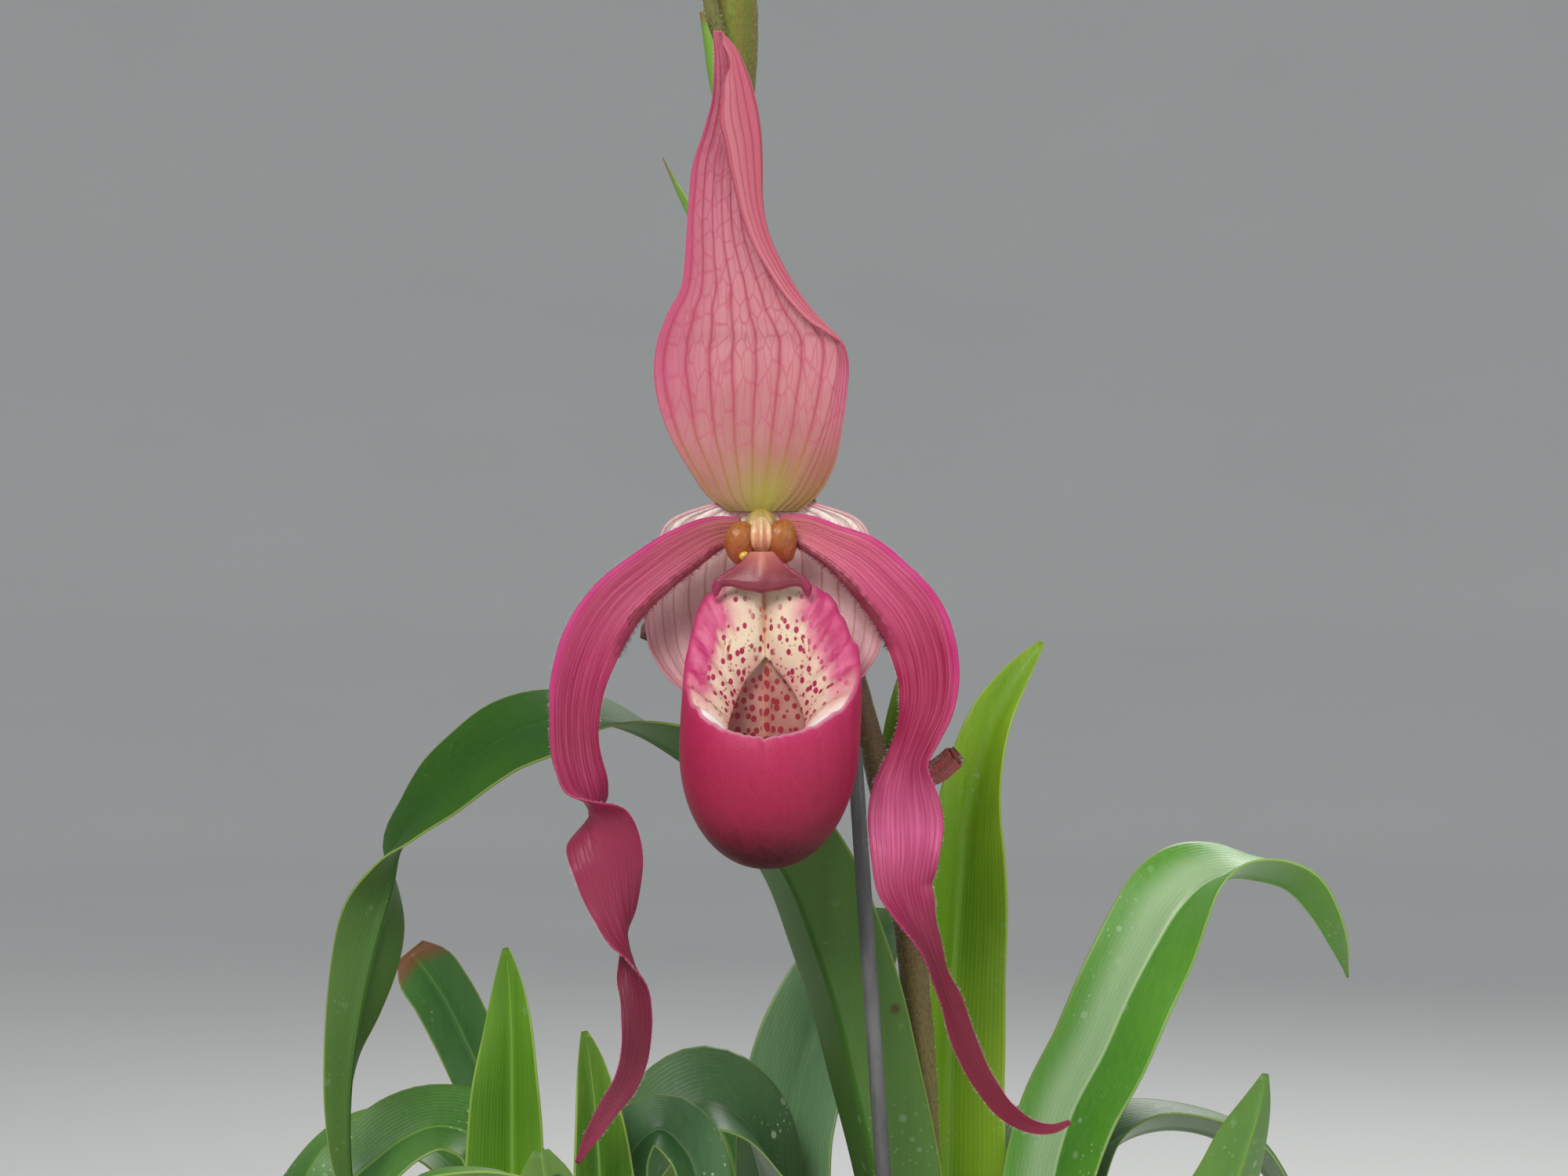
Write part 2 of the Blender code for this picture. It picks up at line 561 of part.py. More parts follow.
def spline(rows, count, twist_weight=0.0):
    """Smooth rows through hand-set rows, spread along their path and closer where they twist."""
    rows = np.array(rows, dtype=float)
    steps = np.linalg.norm(np.diff(rows[:, :3], axis=0), axis=1)
    along = np.concatenate(([0.0], np.cumsum(steps)))
    slopes = np.gradient(rows, along, axis=0)
    effort = steps + twist_weight * abs(np.diff(rows[:, -2]))
    spent = np.concatenate(([0.0], np.cumsum(effort)))
    wanted = np.interp(np.linspace(0.0, spent[-1], count), spent, along)
    cell = np.clip(np.searchsorted(along, wanted, side="right") - 1, 0, len(rows) - 2)
    width = (along[cell + 1] - along[cell])[:, None]
    t = ((wanted - along[cell]) / width[:, 0])[:, None]
    start = rows[cell] * (2 * t**3 - 3 * t**2 + 1) + slopes[cell] * width * (t**3 - 2 * t**2 + t)
    end = rows[cell + 1] * (3 * t**2 - 2 * t**3) + slopes[cell + 1] * width * (t**3 - t**2)
    return start + end


def unit(vectors):
    return vectors / np.linalg.norm(vectors, axis=-1, keepdims=True)


def carried_sides(path, first_side):
    """Side vectors carried along a path without twisting, starting from first_side."""
    tangents = unit(np.gradient(path, axis=0))
    sides = []
    side = np.array(first_side, dtype=float)
    for tangent in tangents:
        side = side - tangent * side.dot(tangent)
        side = side / np.linalg.norm(side)
        sides.append(side)
    return tangents, np.array(sides)


def rolled(tangents, sides, roll_degrees):
    """Sides and normals turned by roll about the path."""
    fronts = np.cross(sides, tangents)
    roll = np.radians(roll_degrees)[:, None]
    turned_sides = np.cos(roll) * sides + np.sin(roll) * fronts
    turned_fronts = -np.sin(roll) * sides + np.cos(roll) * fronts
    return turned_sides, turned_fronts


def folded_section(u, half_width, fold, radius):
    """Across and lift of a strip folded about its middle: an arc of the radius, then straight."""
    length = abs(u) * half_width
    arc = radius * fold
    bend = min(length, arc)
    angle = bend / radius
    across = radius * math.sin(angle) + (length - bend) * math.cos(fold)
    lift = radius * (1 - math.cos(angle)) + (length - bend) * math.sin(fold)
    return math.copysign(across, u), lift


def sheet_mesh(name, grid, wrap=False):
    """Triangles over a grid of points; Solidify then gives both faces the same split."""
    rows, columns = grid.shape[:2]
    mesh = bmesh.new()
    points = [[mesh.verts.new(Vector(grid[i, j]) * MM) for j in range(columns)] for i in range(rows)]
    spans = columns if wrap else columns - 1
    for i in range(rows - 1):
        for j in range(spans):
            k = (j + 1) % columns
            a, b, c, d = points[i][j], points[i][k], points[i + 1][k], points[i + 1][j]
            if (i + j) % 2:
                mesh.faces.new((a, b, c))
                mesh.faces.new((a, c, d))
            else:
                mesh.faces.new((a, b, d))
                mesh.faces.new((b, c, d))
    data = bpy.data.meshes.new(name)
    mesh.to_mesh(data)
    mesh.free()
    data.shade_smooth()
    return data


def thicken(part, thickness):
    add_modifier(part, "SOLIDIFY", thickness=thickness * MM, offset=0.0, use_even_offset=False)


def blade_grid(rows, first_side, count, across, radius_rows=None):
    """Points of a strip: rows hold x, y, z, half width, roll and fold of the two halves."""
    smooth = spline(rows, count, TWIST_WEIGHT)
    tangents, sides = carried_sides(smooth[:, :3], first_side)
    sides, fronts = rolled(tangents, sides, smooth[:, 4])
    radii = np.full(count, PETAL_FOLD_RADIUS) if radius_rows is None else radius_rows(smooth)
    grid = np.zeros((count, across, 3))
    for i in range(count):
        for j, u in enumerate(np.linspace(-1.0, 1.0, across)):
            half_width = max(smooth[i, 3], MIN_HALF_WIDTH)
            fold = math.radians(max(smooth[i, 5], 0.5))
            x, lift = folded_section(u, half_width, fold, radii[i])
            grid[i, j] = smooth[i, :3] + x * sides[i] + lift * fronts[i]
    return grid


def build_pot(collection):
    """Pot turned from its wall profile, with drain holes away from the middle."""
    slope = (POT_RIM_RADIUS - POT_FOOT_RADIUS) / POT_HEIGHT
    band_foot = POT_HEIGHT - RIM_BAND_HEIGHT
    band_wall = POT_FOOT_RADIUS + slope * band_foot
    inner_top = POT_RIM_RADIUS - POT_WALL - RIM_BAND_STEP
    inner_foot = POT_FOOT_RADIUS - POT_WALL
    profile = [
        (0.0, POT_FLOOR), (inner_foot, POT_FLOOR), (inner_top, POT_HEIGHT - LIP_ROUND),
        (inner_top + LIP_ROUND, POT_HEIGHT), (POT_RIM_RADIUS - RIM_ROUND, POT_HEIGHT),
        (POT_RIM_RADIUS, POT_HEIGHT - RIM_ROUND), (POT_RIM_RADIUS - 1.0, band_foot + RIM_ROUND),
        (POT_RIM_RADIUS - 2.0, band_foot), (band_wall, band_foot - 0.8),
        (POT_FOOT_RADIUS + 0.4, RIM_ROUND), (POT_FOOT_RADIUS - LIP_ROUND, 0.0), (0.0, 0.0),
    ]
    data = bpy.data.meshes.new("pot")
    edges = [(i, i + 1) for i in range(len(profile) - 1)]
    data.from_pydata([(x * MM, 0.0, z * MM) for x, z in profile], edges, [])
    pot = add_object("pot", data, material("pot", "terracotta"), collection)
    add_modifier(pot, "SCREW", angle=math.tau, steps=36, render_steps=36,
                 use_merge_vertices=True, merge_threshold=0.00001)
    return pot


def cut(part, cutter, cutters):
    cutters.objects.link(cutter)
    cutter.hide_render = True
    cutter.display_type = "WIRE"
    add_modifier(part, "BOOLEAN", operation="DIFFERENCE", solver="EXACT", object=cutter)


def cylinder(name, radius, foot, top, sides=20):
    """Closed cylinder between two points."""
    axis = top - foot
    mesh = bmesh.new()
    bmesh.ops.create_cone(mesh, cap_ends=True, segments=sides, radius1=radius * MM,
                          radius2=radius * MM, depth=axis.length * MM)
    data = bpy.data.meshes.new(name)
    mesh.to_mesh(data)
    mesh.free()
    part = bpy.data.objects.new(name, data)
    part.location = (foot + top) * 0.5 * MM
    part.rotation_mode = "QUATERNION"
    part.rotation_quaternion = axis.to_track_quat("Z", "Y")
    return part


def drill_drains(pot, cutters):
    for index in range(DRAIN_COUNT):
        turn = math.tau * (index + 0.5) / DRAIN_COUNT
        spot = Vector((DRAIN_CIRCLE * math.cos(turn), DRAIN_CIRCLE * math.sin(turn), 0.0))
        drain = cylinder(f"drain_{index}", DRAIN_RADIUS, spot - Vector((0, 0, 5)),
                         spot + Vector((0, 0, POT_FLOOR + 5)), sides=12)
        cut(pot, drain, cutters)


def bark_height(x, y):
    """Lumpy top of the bark: three crossed waves, low at the pot's wall."""
    wave = math.sin(0.31 * x + 1.3) * math.sin(0.27 * y)
    wave += 0.7 * math.sin(0.55 * x - 0.4 * y) + 0.5 * math.sin(0.23 * x + 0.61 * y + 2.0)
    return BARK_TOP + BARK_BUMP * 0.5 * wave


def build_bark(collection):
    """Bark as rings of points: the lumpy top, the wall inside the pot and a flat floor."""
    inner_top = POT_RIM_RADIUS - POT_WALL - RIM_BAND_STEP
    inner_foot = POT_FOOT_RADIUS - POT_WALL
    slope = (inner_top - inner_foot) / (POT_HEIGHT - LIP_ROUND - POT_FLOOR)
    floor = POT_FLOOR + GAP
    edge = BARK_TOP - BARK_EDGE_DROP
    edge_radius = inner_foot + slope * (edge - POT_FLOOR) - 2 * GAP
    foot_radius = inner_foot + slope * (floor - POT_FLOOR) - 2 * GAP
    sectors = BARK_SECTORS
    mesh = bmesh.new()
    rings = []
    for radius in np.linspace(edge_radius / BARK_RINGS, edge_radius, BARK_RINGS):
        ring = []
        for index in range(sectors):
            turn = math.tau * index / sectors
            x = radius * math.cos(turn)
            y = radius * math.sin(turn)
            z = edge if radius > edge_radius - 0.1 else bark_height(x, y)
            ring.append(mesh.verts.new((x * MM, y * MM, z * MM)))
        rings.append(ring)
    low = [mesh.verts.new((foot_radius * math.cos(math.tau * i / sectors) * MM,
                           foot_radius * math.sin(math.tau * i / sectors) * MM,
                           floor * MM)) for i in range(sectors)]
    rings.append(low)
    for inner, outer in zip(rings, rings[1:]):
        for i in range(sectors):
            k = (i + 1) % sectors
            mesh.faces.new((inner[i], outer[i], outer[k], inner[k]))
    mesh.faces.new(rings[0])
    mesh.faces.new(list(reversed(low)))
    bmesh.ops.triangulate(mesh, faces=mesh.faces[:])
    data = bpy.data.meshes.new("potting_bark")
    mesh.to_mesh(data)
    mesh.free()
    return add_object("potting_bark", data, material("potting_bark", "bark"), collection)


def growth_pit(name, centre, back, front_reach, back_reach, half_width):
    """Cutter with a stadium plan that clears a growth's folded leaf bases."""
    mesh = bmesh.new()
    for reach in (back_reach - half_width, half_width - front_reach):
        for index in range(16):
            turn = math.tau * index / 16
            x = centre[0] + back[0] * reach + half_width * math.cos(turn)
            y = centre[1] + back[1] * reach + half_width * math.sin(turn)
            for z in (PIT_FLOOR, BARK_TOP + 12.0):
                mesh.verts.new((x * MM, y * MM, z * MM))
    hull = bmesh.ops.convex_hull(mesh, input=mesh.verts[:])
    spare = [item for item in hull["geom_interior"] if isinstance(item, bmesh.types.BMVert)]
    bmesh.ops.delete(mesh, geom=spare, context="VERTS")
    data = bpy.data.meshes.new(name)
    mesh.to_mesh(data)
    mesh.free()
    return bpy.data.objects.new(name, data)


def dig_pits(bark, cutters):
    for name, (centre, back) in GROWTHS.items():
        backs, fronts, widths = [], [], []
        for growth, keel, radius, rows in LEAVES.values():
            if growth != name:
                continue
            margin = BASE_HALF_WIDTH - radius * math.pi / 2
            backs.append(keel if keel > 0 else margin - keel - radius)
            fronts.append(-keel if keel < 0 else margin - keel + radius)
            widths.append(radius)
        clear = LEAF_THICKNESS / 2 + 2 * GAP
        half_width = max(widths) + clear
        pit = growth_pit(f"pit_{name}", centre, unit(np.array(back)), max(fronts) + clear,
                         max(backs) + clear, half_width)
        cut(bark, pit, cutters)
    axis = (STAKE_TOP - STAKE_FOOT).normalized()
    hole = cylinder("stake_hole", STAKE_RADIUS + GAP, STAKE_FOOT - axis * GAP,
                    STAKE_FOOT + axis * 25.0, sides=12)
    cut(bark, hole, cutters)


def leaf_rows(growth, keel, rows):
    """The folded base of the leaf in its growth, then the rows above it."""
    centre, back = GROWTHS[growth]
    back = unit(np.array(back))
    x = centre[0] + back[0] * keel
    y = centre[1] + back[1] * keel
    foot = PIT_FLOOR + GAP
    base = [(x, y, z, BASE_HALF_WIDTH, 0, BASE_FOLD) for z in (foot, foot + BASE_RISE)]
    return base + list(rows)


def build_leaf(name, growth, keel, radius, rows, surface, collection):
    all_rows = leaf_rows(growth, keel, rows)
    back = unit(np.array(GROWTHS[growth][1])) * math.copysign(1.0, keel)
    first_side = (back[1], -back[0], 0.0)

    def radii(smooth):
        return np.interp(smooth[:, 5], FOLD_BLEND, (FOLD_RADIUS, radius))

    length = sum((Vector(b[:3]) - Vector(a[:3])).length for a, b in zip(all_rows, all_rows[1:]))
    count = int(round(length / LEAF_STATION)) + 1
    grid = blade_grid(all_rows, first_side, count, 5, radii)
    part = add_object(name, sheet_mesh(name, grid), surface, collection)
    thicken(part, LEAF_THICKNESS)
    return part


def build_petal(name, rows, collection):
    world_rows = [(x + BLOOM.x, y + BLOOM.y, z + BLOOM.z, w, roll, fold)
                  for x, y, z, w, roll, fold in rows]
    start = Vector(rows[1][:3]) - Vector(rows[0][:3])
    first_side = Vector((0.0, 1.0, 0.0)).cross(start).normalized()
    grid = blade_grid(world_rows, first_side, 42, 5)
    part = add_object(name, sheet_mesh(name, grid), material(name, "petal"), collection)
    thicken(part, PETAL_THICKNESS)
    return part


def turn_about(axis, vector, angle):
    """Vector turned about a unit axis."""
    return (vector * math.cos(angle) + np.cross(axis, vector) * math.sin(angle)
            + axis * axis.dot(vector) * (1 - math.cos(angle)))


def dorsal_point(row, tangent, width, left):
    """Point of the dorsal sepal at a signed width from its fold line."""
    fold = -math.radians(row[5])
    point = row[:3].copy()
    across = np.array((1.0, 0.0, 0.0))
    steps = 10
    step = width / steps
    for index in range(steps):
        u = (index + 0.5) * step
        share = np.clip((u + DORSAL_FOLD_WIDTH) / (2 * DORSAL_FOLD_WIDTH), 0.0, 1.0)
        share = share * share * (3 - 2 * share)
        cup = -DORSAL_CUP * (u + left * 0.5) * (1.0 - share)
        point = point + step * turn_about(tangent, across, fold * share + cup)
    return point


def build_dorsal(collection):
    rows = spline(DORSAL, 24)
    tangents = unit(np.gradient(rows[:, :3], axis=0))
    shares = np.linspace(0.0, 1.0, 13)
    grid = np.zeros((len(rows), len(shares), 3))
    for i, row in enumerate(rows):
        left, right = max(row[3], 0.5), max(row[4], 0.5)
        for j, share in enumerate(shares):
            width = np.interp(share, (0.0, DORSAL_FOLD_SHARE, 1.0), (-left, 0.0, right))
            grid[i, j] = dorsal_point(row, tangents[i], width, left) + np.array(BLOOM)
    part = add_object("dorsal_sepal", sheet_mesh("dorsal_sepal", grid),
                      material("dorsal_sepal", "dorsal"), collection)
    thicken(part, SEPAL_THICKNESS)
    return part


def build_synsepal(collection, cutters):
    rows = spline([(0.0, y, z, w, f) for y, z, w, f in SYNSEPAL], 11)
    grid = np.zeros((len(rows), 11, 3))
    for i, (_, y, z, half_width, forward) in enumerate(rows):
        for j, u in enumerate(np.linspace(-1.0, 1.0, 11)):
            x = SYNSEPAL_X + half_width * math.sin(u * SYNSEPAL_BELL) / math.sin(SYNSEPAL_BELL)
            grid[i, j] = np.array((x, y - forward * u * u, z)) + np.array(BLOOM)
    part = add_object("synsepal", sheet_mesh("synsepal", grid),
                      material("synsepal", "synsepal"), collection)
    thicken(part, SEPAL_THICKNESS)
    seat = Vector(OVARY[-1][:3])
    hole = cylinder("synsepal_seat", OVARY[-1][3] + 0.5, seat - Vector((0, 4, 0)),
                    seat + Vector((0, 12, 0)), sides=16)
    cut(part, hole, cutters)
    return part


def pouch_body(angle, height):
    """Point of the bag at a turn and a height: an oval that closes to a rounded toe."""
    drop = max(0.0, POUCH_WIDEST_Z - height) / (POUCH_WIDEST_Z - POUCH_FLOOR_Z)
    close = max(0.0, 1.0 - min(drop, 1.0) ** POUCH_TOE_POWER) ** (1.0 / POUCH_TOE_POWER)
    rise = max(0.0, height - POUCH_WIDEST_Z) / POUCH_SHOULDER
    half_width = POUCH_HALF_WIDTH * close * (1.0 - POUCH_NARROWING * rise * rise)
    half_depth = POUCH_HALF_DEPTH * close * (1.0 - POUCH_SHALLOWING * rise)
    return np.array((POUCH_CENTRE_X + half_width * math.cos(angle),
                     POUCH_CENTRE_Y + POUCH_LEAN * rise + half_depth * math.sin(angle), height))


def mouth_row(turn):
    """Ridge and inner edge of the pouch's mouth at a share of a full turn."""
    rows = np.array(POUCH_MOUTH, dtype=float)
    count = len(rows)
    place = turn * count
    cell = int(math.floor(place))
    t = place - cell
    before, start, end, after = (rows[(cell + k) % count].copy() for k in (-1, 0, 1, 2))
    for row, k in ((before, -1), (start, 0), (end, 1), (after, 2)):
        row[0] -= 360.0 * math.floor((cell + k) / count)
    mix = 0.5 * (2 * start + (end - before) * t + (2 * before - 5 * start + 4 * end - after) * t * t
                 + (3 * start - before - 3 * end + after) * t ** 3)
    return mix


def pouch_line(turn, collar_steps, wall_steps):
    """Points from the free inner edge over the ridge and down the wall to near the toe."""
    row = mouth_row(turn)
    angle = math.radians(row[0])
    ridge = np.array((row[1], row[3], row[2]))
    inner = np.array((row[4], row[6], row[5]))
    span = np.linalg.norm(ridge - inner)
    bulge = (ridge + inner) / 2 + span * np.array(POUCH_COLLAR_BULGE)
    points = []
    for t in np.linspace(0.0, 1.0, collar_steps, endpoint=False):
        points.append(inner * (1 - t) ** 2 + 2 * bulge * t * (1 - t) + ridge * t * t)
    points.append(ridge)
    offset = ridge - pouch_body(angle, ridge[2])
    for s in np.linspace(0.0, 1.0, wall_steps + 1)[1:]:
        ease = 1.0 - (1.0 - s) ** POUCH_WALL_EASE
        height = ridge[2] + (POUCH_FLOOR_Z + 0.05 - ridge[2]) * ease
        points.append(pouch_body(angle, height) + offset * (1.0 - s) ** 3)
    return points


def build_pouch(collection):
    around = 30
    lines = [pouch_line(i / around, 4, 10) for i in range(around)]
    grid = np.array(lines).transpose(1, 0, 2) + np.array(BLOOM)
    data = sheet_mesh("pouch", grid, wrap=True)
    mesh = bmesh.new()
    mesh.from_mesh(data)
    toe = np.array((POUCH_CENTRE_X, POUCH_CENTRE_Y, POUCH_FLOOR_Z)) + np.array(BLOOM)
    mesh.verts.ensure_lookup_table()
    last = [mesh.verts[len(mesh.verts) - around + i] for i in range(around)]
    bmesh.ops.pointmerge(mesh, verts=last, merge_co=Vector(toe) * MM)
    bmesh.ops.recalc_face_normals(mesh, faces=mesh.faces[:])
    mesh.to_mesh(data)
    mesh.free()
    part = add_object("pouch", data, material("pouch", "pouch"), collection)
    thicken(part, POUCH_THICKNESS)
    return part


def ball(name, centre, radii, across=12, down=8):
    mesh = bmesh.new()
    bmesh.ops.create_uvsphere(mesh, u_segments=across, v_segments=down, radius=1.0)
    for vert in mesh.verts:
        vert.co = Vector((vert.co.x * radii[0], vert.co.y * radii[1], vert.co.z * radii[2])) * MM
    data = bpy.data.meshes.new(name)
    mesh.to_mesh(data)
    mesh.free()
    data.shade_smooth()
    part = bpy.data.objects.new(name, data)
    part.location = (Vector(centre) + BLOOM) * MM
    return part


def build_column(collection, cutters):
    """Column body with the two lateral anthers joined to it."""
    column = ball("column", COLUMN_CENTRE, COLUMN_RADII, 16, 10)
    column.data.materials.append(material("column", "column"))
    collection.objects.link(column)
    for side, centre in (("left", ANTHER_LEFT), ("right", ANTHER_RIGHT)):
        anther = ball(f"anther_{side}", centre, ANTHER_RADII)
        cutters.objects.link(anther)
        anther.hide_render = True
        anther.display_type = "WIRE"
        add_modifier(column, "BOOLEAN", operation="UNION", solver="EXACT", object=anther)
    return column


def build_shield(collection):
    rows = spline([(0.0, y, z, w, d) for z, y, w, d in SHIELD_ROWS], 8)
    grid = np.zeros((len(rows), 9, 3))
    for i, (_, y, z, half_width, droop) in enumerate(rows):
        for j, u in enumerate(np.linspace(-1.0, 1.0, 9)):
            grid[i, j] = (SHIELD_X + u * half_width, y + SHIELD_BEND * u * u, z - droop * abs(u) ** 3)
    grid = grid + np.array(BLOOM)
    part = add_object("staminode", sheet_mesh("staminode", grid),
                      material("staminode", "shield"), collection)
    thicken(part, SHIELD_THICKNESS)
    return part


def build_stem(name, rows, surface, collection, count, resolution=1):
    """Tapered round stem: a bevelled curve with caps, read from smooth rows."""
    smooth = spline(rows, count)
    curve = bpy.data.curves.new(name, "CURVE")
    curve.dimensions = "3D"
    curve.bevel_depth = MM
    curve.bevel_resolution = resolution
    curve.use_fill_caps = True
    line = curve.splines.new("POLY")
    line.points.add(count - 1)
    for point, (x, y, z, radius) in zip(line.points, smooth):
        point.co = (x * MM, y * MM, z * MM, 1.0)
        point.radius = radius
    return add_object(name, curve, surface, collection)


def scape_at(height):
    """Centre and radius of the scape at a height."""
    rows = spline(SCAPE, 200)
    nearest = rows[np.argmin(abs(rows[:, 2] - height))]
    return nearest[:3], nearest[3]


def build_bract(name, height, azimuth, rows, surface, collection):
    foot, scape_radius = scape_at(height)
    turn = math.radians(azimuth)
    out = np.array((math.cos(turn), math.sin(turn), 0.0))
    keel_rows = []
    for distance, rise, half_width, fold in rows:
        axis, _ = scape_at(height + min(rise, BRACT_CLASP))
        x, y = axis[:2] + out[:2] * distance
        keel_rows.append((x, y, height + rise, half_width, 0, fold))
    first_side = (out[1], -out[0], 0.0)

    def radii(smooth):
        return np.interp(smooth[:, 5], BRACT_FOLD_BLEND, (BRACT_FOLD_RADIUS, rows[0][0]))

    grid = blade_grid(keel_rows, first_side, 9, 5, radii)
    part = add_object(name, sheet_mesh(name, grid), surface, collection)
    thicken(part, BRACT_THICKNESS)
    return part


def leaf_surface(name):
    light = ("leaf_upright", "leaf_pointed", "leaf_small_pointed", "leaf_short")
    dark = ("leaf_middle", "leaf_rounded", "leaf_broad_left", "leaf_low_right", "leaf_hooked")
    return material(name, "leaf_light" if name in light else "leaf_dark" if name in dark else "leaf")


def build():
    clear_scene()
    orchid = new_collection("phragmipedium_orchid")
    cutters = new_collection("cutters")
    pot = build_pot(orchid)
    drill_drains(pot, cutters)
    bark = build_bark(orchid)
    dig_pits(bark, cutters)
    for name, (growth, keel, radius, rows) in LEAVES.items():
        build_leaf(name, growth, keel, radius, rows, leaf_surface(name), orchid)
    build_stem("scape", SCAPE, material("scape", "scape"), orchid, 34, 2)
    stake = cylinder("stake", STAKE_RADIUS, STAKE_FOOT, STAKE_TOP, sides=10)
    stake.data.materials.append(material("stake", "stake"))
    orchid.objects.link(stake)
    for name, (height, azimuth, rows) in BRACTS.items():
        build_bract(name, height, azimuth, rows, material(name, "bract"), orchid)
    for name, rows, colour, count in (
            ("ovary", OVARY, "ovary", 10),
            ("spent_ovary_right", SPENT_OVARY_RIGHT, "ovary", 8),
            ("spent_ovary_left", SPENT_OVARY_LEFT, "ovary", 10),
            ("next_bud", NEXT_BUD, "bud", 14),
            ("last_bud", LAST_BUD, "bud", 7)):
        build_stem(name, rows, material(name, colour), orchid, count)
    build_petal("petal_left", PETAL_LEFT, orchid)
    build_petal("petal_right", PETAL_RIGHT, orchid)
    build_dorsal(orchid)
    build_synsepal(orchid, cutters)
    build_pouch(orchid)
    build_column(orchid, cutters)
    build_shield(orchid)


build()
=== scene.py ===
# %% [markdown]
# # A slipper orchid in its pot
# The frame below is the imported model: every piece of it has its true place and size, and
# stays as the collision shape. This lesson makes the pieces that are seen. Each one repeats
# the frame's own rows of stations on a much finer grid, and then gets its skin, veins and
# hairs.

# %% Load the frame and keep its box
import bmesh
import bpy
import math
import numpy as np
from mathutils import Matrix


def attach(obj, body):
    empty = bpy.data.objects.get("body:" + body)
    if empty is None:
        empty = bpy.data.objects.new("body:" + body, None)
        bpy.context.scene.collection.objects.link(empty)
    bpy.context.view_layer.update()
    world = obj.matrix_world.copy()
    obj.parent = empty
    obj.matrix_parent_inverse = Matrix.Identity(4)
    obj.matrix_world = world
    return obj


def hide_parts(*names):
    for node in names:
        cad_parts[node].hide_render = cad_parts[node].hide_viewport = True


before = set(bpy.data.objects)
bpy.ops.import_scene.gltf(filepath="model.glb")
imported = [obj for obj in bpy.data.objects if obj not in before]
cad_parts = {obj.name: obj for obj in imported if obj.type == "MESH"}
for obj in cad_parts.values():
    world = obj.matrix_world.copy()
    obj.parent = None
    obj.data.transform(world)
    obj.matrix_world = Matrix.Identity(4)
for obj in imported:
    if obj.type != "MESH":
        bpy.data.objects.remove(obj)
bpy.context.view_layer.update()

MM = 0.001

# %% [markdown]
# ## Camera
# The photograph looks level at the bloom from close by, and crops the pot away. A camera of
# 84 mm on a 36 mm sensor, 735 mm in front of the pot's axis, gives its frame. Another way
# is a camera that tracks an empty, but a fixed place is easier to check.

# %% Camera
lens = bpy.data.cameras.new("photo_camera")
lens.sensor_width = 36
lens.lens = 84
lens.clip_start = 0.02
lens.clip_end = 80
camera = bpy.data.objects.new("photo_camera", lens)
camera.location = (0, -0.735, 0.36)
camera.rotation_euler = (math.radians(90), 0, 0)
bpy.context.scene.collection.objects.link(camera)
bpy.context.scene.camera = camera
bpy.context.scene.view_settings.view_transform = "Standard"
print("camera at", tuple(camera.location))

# %% [markdown]
# ## Numbers to meshes
# Every surface here is a grid of points worked out by numpy. One helper turns a grid into
# squares, and a second closes two grids, a front and a back, into a thin shell with a rim.
# Solidify could thicken a sheet too, but a shell of two grids can thin towards its margin,
# as a real leaf does.

# %% Grids, shells and pieces
def unit(vectors):
    """Vectors divided by their own lengths."""
    return vectors / np.maximum(np.linalg.norm(vectors, axis=-1, keepdims=True), 1e-9)


def stacked(*parts):
    """Parts joined as the last direction of one array."""
    return np.stack(np.broadcast_arrays(*parts), axis=-1)


def clamp(values):
    return np.clip(values, 0, 1)


def bell(distance, width):
    """1 where the distance is zero, and soon 0 beyond the width."""
    return np.exp(-(distance / width) ** 2)


def ring_turns(count):
    """Row of turns round a ring, from 0 to nearly one whole turn."""
    return np.linspace(0, math.tau, count, endpoint=False)[None, :]


def grid_squares(rows, columns, wrap=False):
    """Corner numbers of a grid's squares, and the places of the corners as shares of the grid."""
    i, j = np.meshgrid(np.arange(rows - 1), np.arange(columns if wrap else columns - 1), indexing="ij")
    down = stacked(i, i, i + 1, i + 1).reshape(-1, 4)
    over = stacked(j, j + 1, j + 1, j).reshape(-1, 4)
    spans = columns if wrap else columns - 1
    places = stacked(over / spans, down / (rows - 1))
    return down * columns + over % columns, places


def rim_squares(loop, places, back_start):
    """Squares that join a loop of the front grid to the same loop of the back grid."""
    after = np.roll(loop, -1)
    squares = stacked(after, loop, loop + back_start, after + back_start)
    ahead = np.roll(places, -1, axis=0)
    return squares, np.stack((ahead, places, places, ahead), axis=1)


def sideways(count):
    """Row of shares from -1 to 1."""
    return np.linspace(-1, 1, count)[None, :]


def downwards(count):
    """Column of shares from 0 to 1."""
    return np.linspace(0, 1, count)[:, None]


def margin_loop(numbers):
    """Numbers round the edge of a grid, once round."""
    return np.concatenate((numbers[0], numbers[1:, -1], numbers[-1, -2::-1], numbers[-2:0:-1, 0]))


def surface_normals(grid, wrap=False):
    """Cross product of the steps across and along the grid, made one long."""
    if wrap:
        across = np.roll(grid, -1, axis=1) - np.roll(grid, 1, axis=1)
    else:
        across = np.gradient(grid, axis=1)
    return unit(np.cross(across, np.gradient(grid, axis=0)))


def add_object(name, data):
    """Object of the data, linked to the scene."""
    item = bpy.data.objects.new(name, data)
    bpy.context.scene.collection.objects.link(item)
    return item


def weld(data, distance=2e-6):
    """Merges corners that lie on each other, so that poles and seams are closed."""
    mesh = bmesh.new()
    mesh.from_mesh(data)
    bmesh.ops.remove_doubles(mesh, verts=mesh.verts[:], dist=distance)
    mesh.to_mesh(data)
    mesh.free()


